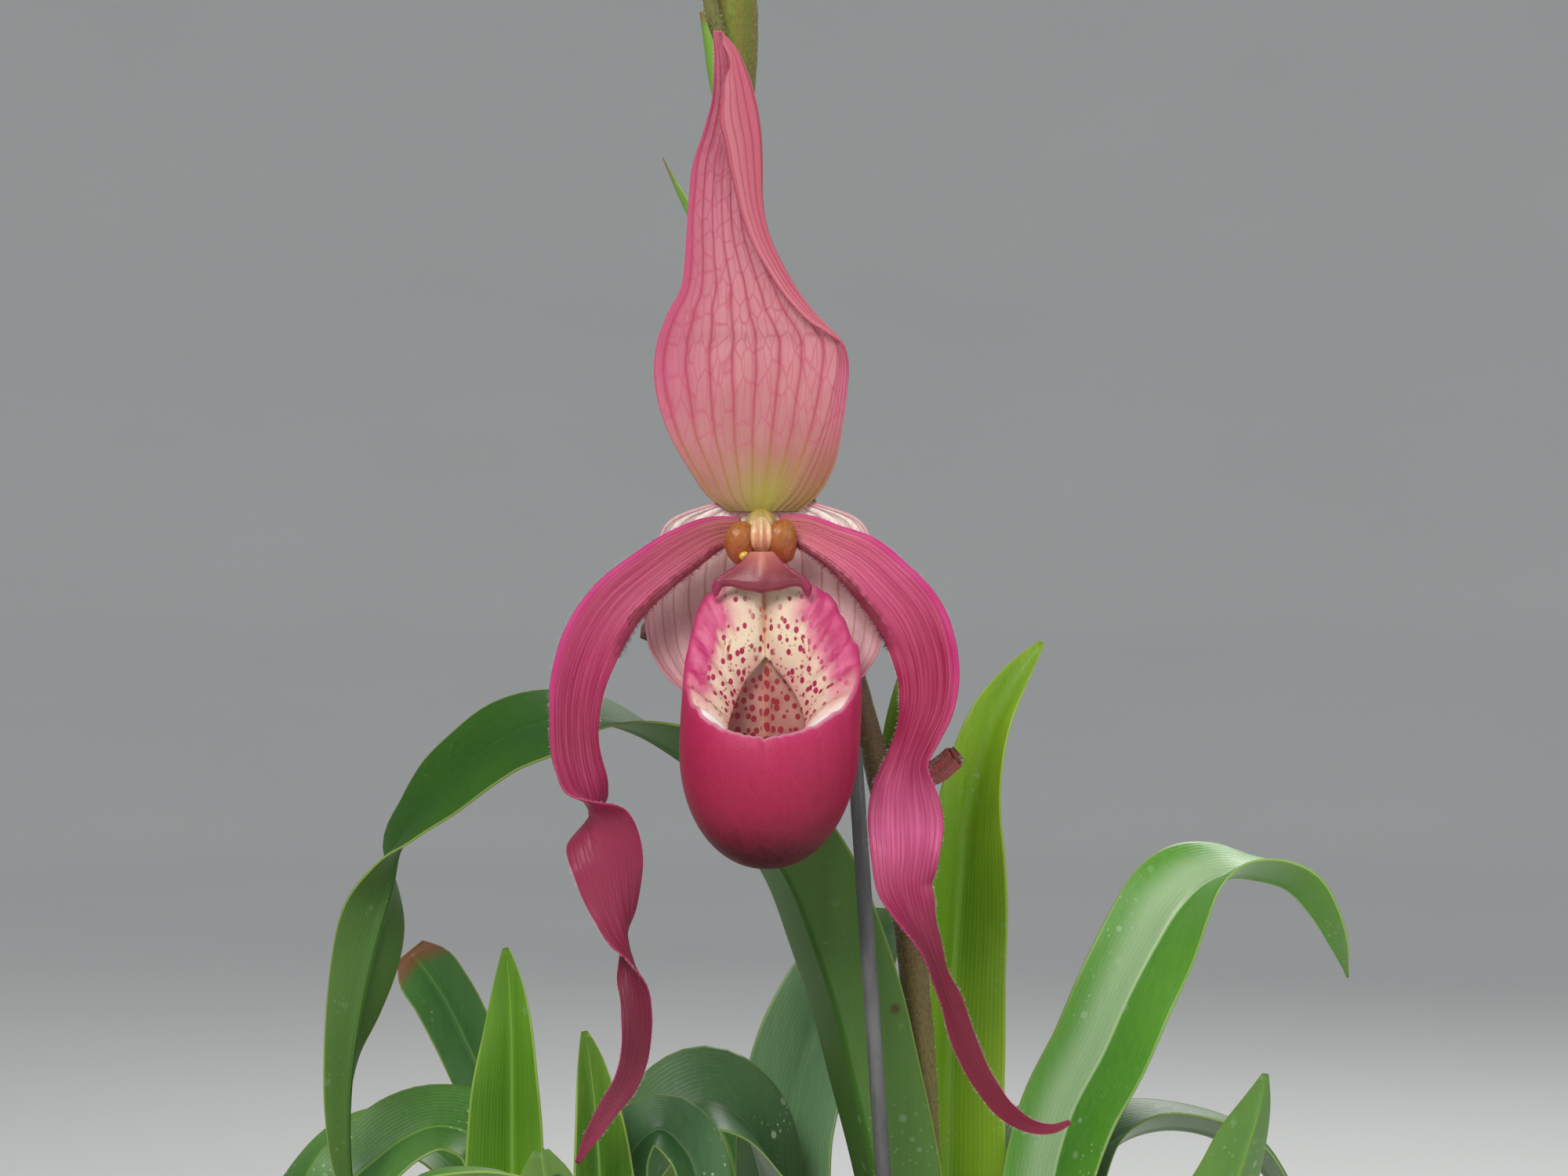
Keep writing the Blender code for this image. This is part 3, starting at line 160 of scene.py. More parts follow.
def add_piece(name, points, squares, places, finish, node=None, reverse=None, welded=False):
    """Mesh piece at the origin from points in millimetres, with the UV map and the side mark."""
    data = bpy.data.meshes.new(name)
    faces = squares if isinstance(squares, list) else squares.tolist()
    data.from_pydata((np.asarray(points) * MM).tolist(), [], faces)
    if places is not None:
        layer = data.uv_layers.new(name="blade")
        layer.data.foreach_set("uv", np.ascontiguousarray(places, dtype=np.float32).ravel())
    if reverse is not None:
        mark = data.attributes.new("reverse", "FLOAT", "POINT")
        mark.data.foreach_set("value", np.asarray(reverse, dtype=np.float32))
    if welded:
        weld(data)
    data.shade_smooth()
    data.materials.append(finish)
    piece = add_object(name, data)
    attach(piece, "root")
    if node:
        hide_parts(node)
    return piece


def add_shell(name, middle, thickness, finish, node=None, wrap=False, lift=0):
    """Closed shell round a middle grid: half the thickness to each side, and a rim."""
    rows, columns = middle.shape[:2]
    normals = surface_normals(middle, wrap)
    half = np.broadcast_to(thickness, (rows, columns))[..., None] / 2
    raised = np.broadcast_to(lift, (rows, columns))[..., None]
    points = np.concatenate(
        ((middle + normals * (half + raised)).reshape(-1, 3),
        (middle - normals * (half - raised)).reshape(-1, 3)))
    squares, places = grid_squares(rows, columns, wrap)
    total = rows * columns
    numbers = np.arange(total).reshape(rows, columns)
    u, v = np.meshgrid(np.linspace(0, 1, columns), np.linspace(0, 1, rows))
    spots = stacked(u, v).reshape(-1, 2)
    if wrap:
        loops = [numbers[0], numbers[-1][::-1]]
    else:
        loops = [margin_loop(numbers)]
    rims = [rim_squares(loop, spots[loop], total) for loop in loops]
    all_squares = np.concatenate([squares, squares[:, ::-1] + total] + [r[0] for r in rims])
    all_places = np.concatenate([places, places[:, ::-1]] + [r[1] for r in rims])
    reverse = np.concatenate((np.zeros(total), np.ones(total)))
    return add_piece(name, points, all_squares, all_places, finish, node, reverse)


def turned(profile, around):
    """Grid of a profile of radius and height, carried once round the upright axis."""
    turn = np.linspace(0, math.tau, around, endpoint=False)
    radius = profile[:, :1]
    height = np.broadcast_to(profile[:, 1:], (len(profile), around))
    return stacked(radius * np.cos(turn), radius * np.sin(turn), height)


print("mesh helpers ready")

# %% [markdown]
# ## Smooth rows
# The frame gives each leaf, petal and stem as a few rows of numbers. A cubic through them,
# with slopes taken from their neighbours, gives as many rows as the finer surface needs. A
# Bezier curve could do it, but these are the frame's own sums, so both shapes agree.

# %% Rows, carried frames and folded blades
TWIST_WEIGHT = 0.06
FOLD_RADIUS = 2.4
PETAL_FOLD_RADIUS = 3
FOLD_BLEND = (45, 85)
MIN_HALF_WIDTH = 0.4


def smooth_rows(rows, count, twist_weight=0):
    """Cubic Hermite through the rows, spread along their path and closer where they twist."""
    rows = np.array(rows, dtype=float)
    steps = np.linalg.norm(np.diff(rows[:, :3], axis=0), axis=1)
    along = np.concatenate(([0], np.cumsum(steps)))
    slopes = np.gradient(rows, along, axis=0)
    effort = steps + twist_weight * abs(np.diff(rows[:, -2]))
    spent = np.concatenate(([0], np.cumsum(effort)))
    wanted = np.interp(np.linspace(0, spent[-1], count), spent, along)
    cell = np.clip(np.searchsorted(along, wanted, side="right") - 1, 0, len(rows) - 2)
    width = (along[cell + 1] - along[cell])[:, None]
    t = (wanted - along[cell])[:, None] / width
    start = rows[cell] * (2 * t**3 - 3 * t**2 + 1) + slopes[cell] * width * (t**3 - 2 * t**2 + t)
    end = rows[cell + 1] * (3 * t**2 - 2 * t**3) + slopes[cell + 1] * width * (t**3 - t**2)
    return start + end


def carried_frame(path, first_side, roll_degrees):
    """Side carried along the path without twist, then turned by roll, and the front beside it."""
    tangents = unit(np.gradient(path, axis=0))
    side = np.array(first_side, dtype=float)
    sides = np.zeros_like(tangents)
    for index, tangent in enumerate(tangents):
        side = side - tangent * side.dot(tangent)
        side = side / np.linalg.norm(side)
        sides[index] = side
    fronts = np.cross(sides, tangents)
    roll = np.radians(roll_degrees)[:, None]
    return np.cos(roll) * sides + np.sin(roll) * fronts, np.cos(roll) * fronts - np.sin(roll) * sides


def folded_section(u, half_width, fold, radius):
    """Across and lift of a strip folded about its middle: an arc, then straight halves."""
    length = abs(u) * half_width
    bend = np.minimum(length, radius * fold)
    angle = bend / radius
    across = radius * np.sin(angle) + (length - bend) * np.cos(fold)
    lift = radius * (1 - np.cos(angle)) + (length - bend) * np.sin(fold)
    return np.copysign(across, u), lift


def blade(rows, first_side, count, across, fold_radius, wave=0):
    """Grid of a strip: across from -1 to 1, along from foot to tip, and a wave on its margins."""
    smooth = smooth_rows(rows, count, TWIST_WEIGHT)
    sides, fronts = carried_frame(smooth[:, :3], first_side, smooth[:, 4])
    u = sideways(across)
    half_width = np.maximum(smooth[:, 3:4], MIN_HALF_WIDTH)
    fold = np.radians(np.maximum(smooth[:, 5:6], 0.5))
    x, lift = folded_section(u, half_width, fold, fold_radius(smooth[:, 5])[:, None])
    lift = lift + wave
    grid = smooth[:, None, :3] + x[..., None] * sides[:, None] + lift[..., None] * fronts[:, None]
    return grid, smooth


def fold_radii(folds, radii):
    """How wide the midrib's bend is at a fold, read between two folds and their radii."""
    return lambda fold: np.interp(fold, folds, radii)


def path_length(rows):
    """Sum of the straight steps between the rows."""
    return np.linalg.norm(np.diff(np.array(rows)[:, :3], axis=0), axis=1).sum()


print("blade helpers ready")

# %% [markdown]
# ## A board for materials
# Shader nodes are long to write one by one. This small class adds a node, sets or joins its
# inputs, and hands back the output. The sums stay visible and each finish stays short.

# %% Board of shader nodes
class Board:
    """A shader tree, with short words for adding nodes and joining them."""

    def __init__(self, tree):
        self.tree = tree

    def join(self, value, socket):
        """Links an output to the socket, or sets the socket to a plain value."""
        if isinstance(value, bpy.types.NodeSocket):
            self.tree.links.new(value, socket)
        else:
            socket.default_value = value

    def add(self, kind, inputs, **settings):
        item = self.tree.nodes.new("ShaderNode" + kind)
        for key, value in settings.items():
            setattr(item, key, value)
        for key, value in inputs.items():
            self.join(value, item.inputs[key])
        return item

    def sums(self, operation, *values):
        item = self.add("Math", {}, operation=operation)
        for value, socket in zip(values, item.inputs):
            self.join(value, socket)
        return item.outputs[0]

    def times(self, first, second):
        return self.sums("MULTIPLY", first, second)

    def plus(self, first, second):
        return self.sums("ADD", first, second)

    def less(self, first, second):
        return self.sums("SUBTRACT", first, second)

    def line(self, value, slope, start):
        """The value times a slope, plus a start."""
        return self.sums("MULTIPLY_ADD", value, slope, start)

    def apart(self, first, second):
        """How far one value lies from another, without its sign."""
        return self.sums("ABSOLUTE", self.less(first, second))

    def most(self, first, second):
        return self.sums("MAXIMUM", first, second)

    def step(self, value, low, high):
        """0 below low and 1 above high, eased between; low above high turns it round."""
        lower, upper, first, last = (low, high, 0, 1) if low < high else (high, low, 1, 0)
        item = self.add(
            "MapRange", {"Value": value, "From Min": lower, "From Max": upper, "To Min": first,
            "To Max": last}, interpolation_type="SMOOTHSTEP")
        return item.outputs["Result"]

    def noise(self, place, scale, detail=3):
        return self.add("TexNoise", {"Vector": place, "Scale": scale, "Detail": detail}).outputs["Fac"]

    def mix(self, share, first, second):
        item = self.add("Mix", {}, data_type="RGBA", blend_type="MIX")
        for value, number in ((share, 0), (first, 6), (second, 7)):
            self.join(tone(*value) if isinstance(value, tuple) else value, item.inputs[number])
        return item.outputs[2]

    def tint(self, skin, mask, strength, colour):
        """The skin with a colour laid over it where the mask is, at a strength."""
        return self.mix(self.times(mask, strength), skin, colour)

    def layers(self, skin, *layers):
        """Tints laid over each other, each a mask, a strength and a colour."""
        for mask, strength, colour in layers:
            skin = self.tint(skin, mask, strength, colour)
        return skin

    def paint(self, skin, rough):
        self.join(skin, self.shader.inputs["Base Color"])
        self.join(rough, self.shader.inputs["Roughness"])

    def relief(self, height, depth, strength=1):
        """Bump of a depth in millimetres on the shader's normal."""
        bump = self.add("Bump", {"Height": height, "Distance": depth * MM, "Strength": strength})
        self.join(bump.outputs["Normal"], self.shader.inputs["Normal"])

    def ramp(self, value, stops):
        """Colour read from a value, through stops of place and colour."""
        item = self.add("ValToRGB", {"Fac": value})
        marks = item.color_ramp.elements
        for index, (place, colour) in enumerate(stops):
            mark = marks[index] if index < 2 else marks.new(place)
            mark.position = place
            mark.color = tone(*colour)
        return item.outputs["Color"]

    def group(self, tree, inputs):
        item = self.add("Group", {}, node_tree=tree)
        for key, value in inputs.items():
            self.join(value, item.inputs[key])
        return item.outputs

    def stretched(self, place, scale):
        """The place with each of its directions scaled on its own."""
        return self.add("Mapping", {"Vector": place, "Scale": scale}).outputs["Vector"]

    def streaks(self, place, scale, detail):
        """Noise stretched along an axis."""
        return self.noise(self.stretched(place, scale), 1, detail)

    def net(self, place, scale):
        """Distance to the threads of an uneven net."""
        item = self.add(
            "TexVoronoi", {"Vector": self.stretched(place, scale), "Scale": 1}, feature="DISTANCE_TO_EDGE")
        return item.outputs["Distance"]

    def place(self):
        return self.add("TexCoord", {}).outputs["Object"]

    def part(self, place, axis):
        return self.add("SeparateXYZ", {"Vector": place}).outputs[axis]

    def point(self, x, y):
        return self.add("CombineXYZ", {"X": x, "Y": y}).outputs["Vector"]

    def near(self, place, spot, inner, outer):
        """1 within the inner distance of a spot in millimetres, 0 beyond the outer one."""
        gap = self.add("VectorMath", {}, operation="DISTANCE")
        self.join(place, gap.inputs[0])
        gap.inputs[1].default_value = tuple(c * MM for c in spot)
        return self.step(gap.outputs["Value"], outer * MM, inner * MM)


FLESH_REACH = 0.002


def tone(red, green, blue, alpha=None):
    """Colour as the eye reads it, 0 to 255, as the shader's linear numbers. Four stay as they are."""
    if alpha is not None:
        return red, green, blue, alpha
    shares = np.array((red, green, blue)) / 255
    linear = np.where(shares <= 0.04045, shares / 12.92, ((shares + 0.055) / 1.055) ** 2.4)
    return (*linear.tolist(), 1)


def new_finish(name, flesh=0, **settings):
    """Material with a Principled shader, its constant settings on the shader's own sockets."""
    finish = bpy.data.materials.new(name)
    finish.use_nodes = True
    board = Board(finish.node_tree)
    board.shader = finish.node_tree.nodes["Principled BSDF"]
    if flesh:
        settings = {"Subsurface_Weight": flesh, "Subsurface_Scale": FLESH_REACH, **settings}
    for key, value in settings.items():
        board.shader.inputs[key.replace("_", " ")].default_value = value
    return finish, board


def blade_places(board):
    """Across and along from the blade's UV map, the side mark, and the place in the object."""
    split = board.add("SeparateXYZ", {"Vector": board.add("UVMap", {}, uv_map="blade").outputs["UV"]})
    mark = board.add("Attribute", {}, attribute_name="reverse").outputs["Fac"]
    place = board.place()
    return split.outputs["X"], split.outputs["Y"], mark, place


print("shader board ready")

# %% [markdown]
# ## Effects that several finishes share
# Veins that run along a blade, freckles, and the uneven tone of living tissue come back in
# almost every material. Each is a node group, made once, with named inputs. A texture image
# could hold them too, but sums stay sharp at any distance.

# %% Shared groups: veins, freckles and living tone
def new_group(name, takes, gives):
    """Empty node group with float or vector inputs and float outputs."""
    group = bpy.data.node_groups.new(name, "ShaderNodeTree")
    for label, value in takes.items():
        kind = "NodeSocketVector" if value is None else "NodeSocketFloat"
        socket = group.interface.new_socket(name=label, in_out="INPUT", socket_type=kind)
        if value is not None:
            socket.default_value = value
    for label in gives:
        group.interface.new_socket(name=label, in_out="OUTPUT", socket_type="NodeSocketFloat")
    start = group.nodes.new("NodeGroupInput").outputs
    end = group.nodes.new("NodeGroupOutput").inputs
    return group, Board(group), start, end


long_veins, board, takes, gives = new_group(
    "long_veins", {"Across": 0.5, "Place": None, "Count": 12, "Wander": 0.02, "Sharpness": 4}, ("Vein",))
drift = board.less(board.noise(takes["Place"], 60, 2), 0.5)
phase = board.line(drift, takes["Wander"], takes["Across"])
wave = board.sums("PINGPONG", board.times(phase, takes["Count"]), 0.5)
board.join(board.sums("POWER", board.times(wave, 2), takes["Sharpness"]), gives["Vein"])

freckles, board, takes, gives = new_group(
    "freckles", {"Place": None, "Per metre": 450, "Size": 0.3, "Softness": 0.06}, ("Spot",))
cells = board.add("TexVoronoi", {"Vector": takes["Place"], "Scale": takes["Per metre"], "Randomness": 0.8})
near_edge = board.less(takes["Size"], cells.outputs["Distance"])
spot = board.sums("DIVIDE", near_edge, takes["Softness"])
board.join(board.sums("MINIMUM", board.most(spot, 0), 1), gives["Spot"])

living_tone, board, takes, gives = new_group(
    "living_tone", {"Place": None, "Cloud size": 40}, ("Cloud", "Grain"))
board.join(board.step(board.noise(takes["Place"], takes["Cloud size"], 2), 0.3, 0.7), gives["Cloud"])
board.join(board.noise(takes["Place"], 2600, 4), gives["Grain"])


def veins(board, across, place, count, wander, sharpness):
    """Lines along a blade: how many, how far they wander and how thin they are."""
    return board.group(
        long_veins, {"Across": across, "Place": place, "Count": count, "Wander": wander,
        "Sharpness": sharpness})["Vein"]


def dots(board, place, per_metre, size, softness):
    """Round spots scattered in space."""
    return board.group(
        freckles, {"Place": place, "Per metre": per_metre, "Size": size, "Softness": softness})["Spot"]


def living(board, place, cloud_size):
    """Slow clouds and fine grain of living tissue."""
    tissue = board.group(living_tone, {"Place": place, "Cloud size": cloud_size})
    return tissue["Cloud"], tissue["Grain"]


def living_finish(name, cloud_size, **settings):
    """Finish of a blade with its places, clouds and grain."""
    finish, board = new_finish(name, **settings)
    places = blade_places(board)
    return finish, board, *places, *living(board, places[3], cloud_size)


print("groups:", long_veins.name, freckles.name, living_tone.name)

# %% [markdown]
# ## Leaves
# Strap leaves stand in fans and clasp each other at the foot, each folded along its midrib.
# The rows below are the frame's own: the keel's place, half width, roll and fold.

# %% The leaves' rows
GROWTHS = {
    "main": ((29, 5), (0, 1)),
    "left": ((-50, -8), (0, 1)),
    "front": ((-31, -42), (-0.35, 0.94)),
    "middle": ((-3, 28), (0.15, 0.99)),
    "right": ((53, 10), (0.35, 0.94)),
}
LEAVES = {
    "leaf_upright": ("main", 6.2, 4.2, [
        (29.2, 17, 150, 11.2, 0, 80), (31.6, 21, 190, 12.2, -8, 64), (33.2, 21.5, 240, 12.8, -32, 51),
        (33.6, 21, 262, 12.6, -28, 48), (34.8, 21, 280, 12, -22, 45), (36.7, 20.5, 303, 10.6, -8, 45),
        (37.9, 21, 314.5, 8.8, -2, 46), (40.3, 21.5, 323, 7.6, 10, 48), (44, 22, 334, 5.8, 15, 50),
        (50.3, 22.5, 344.6, 2.4, 15, 40), (53.4, 23, 348.8, 0.6, 15, 30)]),
    "leaf_arching": ("main", -9, 5.5, [
        (26.5, -5.5, 185, 12.4, 12, 62), (19.2, -8, 240, 12.8, 30, 42), (14.3, -9, 262, 13.3, 30, 40),
        (10.9, -10, 276, 13.5, 30, 38), (6.7, -11, 289, 13.5, 30, 36), (1.1, -12, 303, 13.5, 36, 32),
        (-10.1, -13, 317.5, 13.5, 52, 24), (-21.5, -13, 327.6, 13.5, 76, 14),
        (-30, -13, 332.4, 13.5, 90, 8), (-38, -13, 334.4, 13.5, 104, 4), (-47, -13.5, 333.3, 13.5, 115, 1),
        (-54.5, -14, 330.6, 13.2, 117, 1), (-61, -14.5, 325.8, 12.8, 115, 2),
        (-67.4, -15, 320, 12.2, 112, 4), (-72, -15, 314.8, 11.4, 104, 7), (-76.4, -15, 308.4, 10.8, 92, 11),
        (-77.6, -15.5, 302, 9.6, 66, 14), (-79.6, -16, 294, 8.4, 38, 14), (-81.6, -16, 286, 7.4, 26, 15),
        (-83.6, -16, 277, 6.6, 36, 18), (-85.2, -16, 268, 5.8, 54, 26), (-86, -16, 257, 4.8, 60, 30),
        (-85.6, -16, 246, 3.6, 62, 30), (-83.8, -16, 235, 0.6, 62, 25)]),
    "leaf_back": ("main", 10.4, 6.9, [
        (30, 24, 170, 12.4, 0, 60), (33, 43, 215, 13.4, 2, 40), (38, 66, 238, 13.6, 4, 28),
        (44, 90, 240, 13, 4, 24), (50, 110, 226, 11, 4, 24), (54, 122, 206, 7.5, 4, 24),
        (56, 127, 188, 0.8, 4, 20)]),
    "leaf_pointed": ("left", 3, 1.6, [
        (-51, -9, 170, 11.6, 2, 58), (-53, -13, 225, 11, 6, 46), (-53.5, -14, 248, 10.2, 10, 44),
        (-53.5, -14.5, 261, 9, 10, 44), (-53.6, -15, 273.7, 6.2, 8, 42), (-54.2, -15, 284, 2.8, 6, 36),
        (-54.8, -15, 289.2, 0.6, 6, 30)]),
    "leaf_drooping_left": ("left", 5.6, 3, [
        (-51.5, 1, 185, 11.2, -4, 55), (-54.5, 4, 224, 11.2, -18, 40), (-58.5, 5, 242, 11, -36, 30),
        (-64, 4.5, 249.6, 10.8, -56, 20), (-70.5, 3.5, 251, 10.6, -64, 16),
        (-76.5, 2, 248.8, 10.4, -64, 16), (-82, 0.5, 244.8, 10.2, -64, 16), (-87, -1, 240.4, 9.4, -58, 18),
        (-91, -2, 232, 7.4, -54, 18), (-94.4, -3, 221, 0.8, -50, 15)]),
    "leaf_rounded": ("left", 8.4, 4.4, [
        (-50, 9, 180, 8.8, 0, 55), (-52.2, 15, 222, 8, 0, 42), (-55.9, 17.5, 243, 7.4, -2, 34),
        (-60.2, 18.5, 255, 7.2, -4, 32), (-65, 19, 265.5, 7.2, -6, 32), (-70.8, 19.5, 276.6, 7.2, -6, 30),
        (-74.6, 19.5, 282, 6.6, -6, 28), (-77.2, 19.5, 285.2, 3.6, -6, 26)]),
    "leaf_low_left": ("left", 11.2, 5.8, [
        (-51, 20, 170, 11.6, -6, 55), (-56.5, 32, 210, 11.4, -24, 36), (-65.6, 37, 232, 11, -44, 26),
        (-76.5, 38, 242, 10.6, -60, 18), (-88, 38, 243.6, 10.2, -66, 16), (-98, 37, 238.4, 9.4, -66, 16),
        (-105, 36, 228.4, 7.2, -60, 16), (-109, 35, 216, 0.8, -56, 15)]),
    "leaf_small_pointed": ("front", 3, 1.6, [
        (-32.4, -39.5, 170, 9.6, 0, 84), (-33.2, -39.5, 200, 9.8, 2, 64), (-34.2, -39.5, 220, 9.6, 4, 54),
        (-35, -39, 246, 8.6, 8, 50), (-35.6, -39, 256, 7, 8, 50), (-36.4, -39, 265, 4.6, 8, 48),
        (-37.2, -39, 271.5, 2.4, 8, 42), (-38, -39, 275.7, 0.6, 8, 36)]),
    "leaf_hooked": ("front", 5.6, 3, [
        (-32.8, -34.2, 152, 10.4, 0, 68), (-32, -31, 190, 10.4, 8, 52), (-31.2, -29.5, 222, 10, 30, 42),
        (-31, -29, 243, 8.6, 52, 30), (-28.4, -29, 252, 7.8, 68, 24), (-23.8, -29.5, 255.4, 7.6, 84, 22),
        (-19.2, -30, 251.6, 8, 84, 26), (-16.2, -30.5, 242.6, 6.6, 80, 26), (-14.6, -31, 231, 0.8, 76, 22),
    ]),
    "leaf_short": ("front", -10.8, 5, [
        (-28.2, -55, 146, 9.4, 0, 68), (-31.2, -57.4, 176, 9, 4, 50), (-36, -58.2, 206, 8.6, 8, 40),
        (-40.8, -58, 231, 7.8, 12, 28), (-43.2, -58.2, 245, 6.6, 14, 24), (-44.4, -58.4, 252, 4.6, 14, 20),
        (-45, -58.4, 256, 1.6, 14, 18)]),
    "leaf_front": ("front", -13.4, 6.6, [
        (-27.4, -60, 146, 10.8, 2, 64), (-29.2, -66.2, 174, 11.2, 10, 50),
        (-33.2, -70.6, 206, 11.4, 28, 40), (-37.2, -73, 231, 11.6, 50, 30),
        (-42.5, -73.5, 245, 11.4, 74, 22), (-50, -74, 250.6, 10.6, 96, 18), (-58, -74, 252.4, 9, 104, 18),
        (-65, -74, 252, 6, 106, 18), (-71, -74, 250.4, 0.8, 106, 15)]),
    "leaf_middle": ("middle", 3, 1.6, [
        (-2.4, 31.6, 168, 10.8, 0, 84), (-1, 33.6, 200, 12, 0, 62), (1.2, 36, 234, 13, 2, 43),
        (1.8, 36.5, 247, 13, 2, 40), (3.8, 37, 258, 13, 0, 38), (7.9, 37.5, 269.4, 12.4, -2, 36),
        (14, 38, 280, 10.8, -2, 34), (20, 38, 287, 7.4, 0, 30), (26, 38, 291, 0.8, 0, 25)]),
    "leaf_broad_left": ("middle", -10.8, 5, [
        (-4.6, 13, 148, 10.8, 2, 68), (-4.2, 9.8, 182, 12, 18, 54), (-2.2, 8.8, 218, 12.6, 60, 40),
        (-3.6, 7.6, 240, 12.8, 86, 30), (-8.4, 7, 251.6, 13, 102, 22), (-15.4, 6.5, 255.6, 13.2, 112, 18),
        (-22, 6, 252.6, 13, 112, 18), (-27.4, 5.5, 244.2, 11.8, 106, 18), (-30.6, 5, 232, 8.8, 100, 18),
        (-32.4, 4.5, 218, 0.8, 96, 15)]),
    "leaf_far_back": ("middle", 5.6, 3, [
        (-2.8, 38.4, 150, 11, 0, 66), (-4.4, 47, 182, 12.2, 0, 50), (-8, 63, 218, 13.2, 0, 36),
        (-12, 79, 234, 13.4, 0, 26), (-16, 97, 238, 12.6, 0, 22), (-20, 113, 228, 10.4, 0, 22),
        (-22, 123, 212, 7, 0, 22), (-23, 128, 195, 0.8, 0, 20)]),
    "leaf_glossy": ("right", 3, 1.6, [
        (54.2, 13.6, 168, 10.8, 0, 84), (54.8, 17, 204, 11.2, -2, 60), (54.8, 20.4, 234, 12, -7, 43),
        (59.9, 22, 252.2, 12.4, -9, 38), (66.2, 23, 263.9, 12.6, -9, 38), (71.7, 24, 275.8, 12.6, -8, 38),
        (77, 25, 285.4, 12.4, -2, 36), (82.6, 26, 293.6, 12, 12, 33), (87.6, 27, 298, 11.8, 30, 29),
        (93.2, 28, 300.2, 11.6, 46, 26), (99.2, 29, 299.6, 11.2, 55, 25), (105.4, 30, 297.6, 10.4, 56, 25),
        (110.6, 31, 292.4, 8.8, 54, 25), (115, 32, 285.8, 6.2, 50, 22), (118.4, 33, 278.4, 0.8, 45, 18)]),
    "leaf_low_right": ("right", 5.6, 3, [
        (55.8, 19.8, 150, 10.8, 2, 66), (57.2, 27, 182, 12, 6, 50), (59.8, 35, 214, 12.6, 18, 38),
        (64, 39.4, 233, 12.8, 32, 30), (70.5, 41, 242.6, 12.8, 46, 24), (79, 42, 245.6, 12.6, 54, 20),
        (88.5, 42, 245, 12, 56, 20), (98, 42, 240.4, 11, 56, 20), (106, 42, 231, 8, 54, 20),
        (111, 42, 219, 0.8, 50, 16)]),
    "leaf_right_edge": ("right", -10.8, 5, [
        (49.6, -3.8, 146, 10.8, 0, 68), (54.6, -7, 172, 11, -6, 54), (69, -7.4, 203, 11, -22, 42),
        (82.4, -6, 226, 10, -30, 40), (88.6, -6.5, 239, 8.8, -30, 40), (92, -7, 249, 6.8, -30, 40),
        (94.4, -7, 257, 3.6, -30, 36), (95.8, -7, 263.4, 0.6, -30, 30)]),
}
print("leaves:", len(LEAVES))

# %% [markdown]
# ## The leaf's skin
# Young leaves are yellow-green and old ones blue-green. Parallel veins run from foot to tip,
# the midrib is a thin line, the margin carries a pale hair line of painted highlight, and the
# back is duller and paler.
# Dried drops of hard water leave pale rings and flecks. One function makes all of them, with
# its own tones for each leaf.

# %% Leaf finish
# The pale margin tone is a painted highlight along each leaf's edge.
MARGIN_HIGHLIGHT = (168, 190, 92)
DRY_TONE = (112, 74, 38)
WATER_TONE = (206, 216, 200)


def leaf_finish(name, young, old, midrib, gloss, water, seed, vein_count=26):
    """Skin of one leaf: two green tones, its midrib, how glossy it is and how many water marks."""
    finish, board = new_finish(
        name, Coat_Weight=gloss * 0.4, Coat_Roughness=0.25, Specular_IOR_Level=0.25 + gloss * 0.4,
        Subsurface_Weight=0.06, Subsurface_Scale=0.003)
    across, along, reverse, place = blade_places(board)
    centre = board.times(board.apart(across, 0.5), 2)
    shifted = board.add("Mapping", {"Vector": place, "Location": (seed * 0.37, seed * 0.21, 0)})
    shifted = shifted.outputs["Vector"]
    cloud, grain = living(board, shifted, 26)
    vein = veins(board, across, shifted, vein_count, 0.012, 3)
    fine = veins(board, across, shifted, vein_count * 3.2, 0.006, 2)
    streaks = board.streaks(place, (900, 900, 12), 2)
    age = board.line(cloud, 0.45, board.times(centre, 0.25))
    age = board.plus(age, board.line(streaks, 0.5, -0.2))
    skin = board.mix(board.sums("MINIMUM", board.most(age, 0), 1), old, young)
    skin = board.layers(skin, (vein, 0.2, young), (fine, 0.12, (*(c * 0.45 for c in tone(*old)[:3]), 1)))
    dull = board.mix(0.35, young, (150, 172, 118))
    # The pale hair line along the margin is a painted highlight.
    skin = board.layers(
        skin, (reverse, 0.42, dull), (board.step(centre, 0.055, 0.015), 0.6, midrib),
        (board.step(centre, 0.965, 0.998), 0.4, MARGIN_HIGHLIGHT))
    foot = board.times(board.step(along, 0.14, 0.02), 0.7)
    skin = board.mix(foot, skin, (176, 178, 112))
    drops = dots(board, shifted, 210, 0.2, 0.05)
    flecks = dots(board, shifted, 620, 0.22, 0.08)
    patches = board.step(board.noise(shifted, 55, 3), 0.52, 0.66)
    water_mark = board.times(board.most(drops, flecks), patches)
    skin = board.tint(skin, water_mark, water, WATER_TONE)
    return finish, board, skin, place, along, centre, (vein, fine, grain, water_mark)


def close_leaf(board, skin, relief_parts, roughness):
    """Joins the leaf's colour, roughness and relief to its shader."""
    vein, fine, grain, water_mark = relief_parts
    board.join(skin, board.shader.inputs["Base Color"])
    rough = board.line(grain, 0.16, roughness)
    board.join(board.line(water_mark, 0.2, rough), board.shader.inputs["Roughness"])
    height = board.line(vein, 0.6, board.times(fine, 0.25))
    height = board.line(grain, 0.35, height)
    height = board.line(water_mark, 0.3, height)
    board.relief(height, 0.12, 0.55)


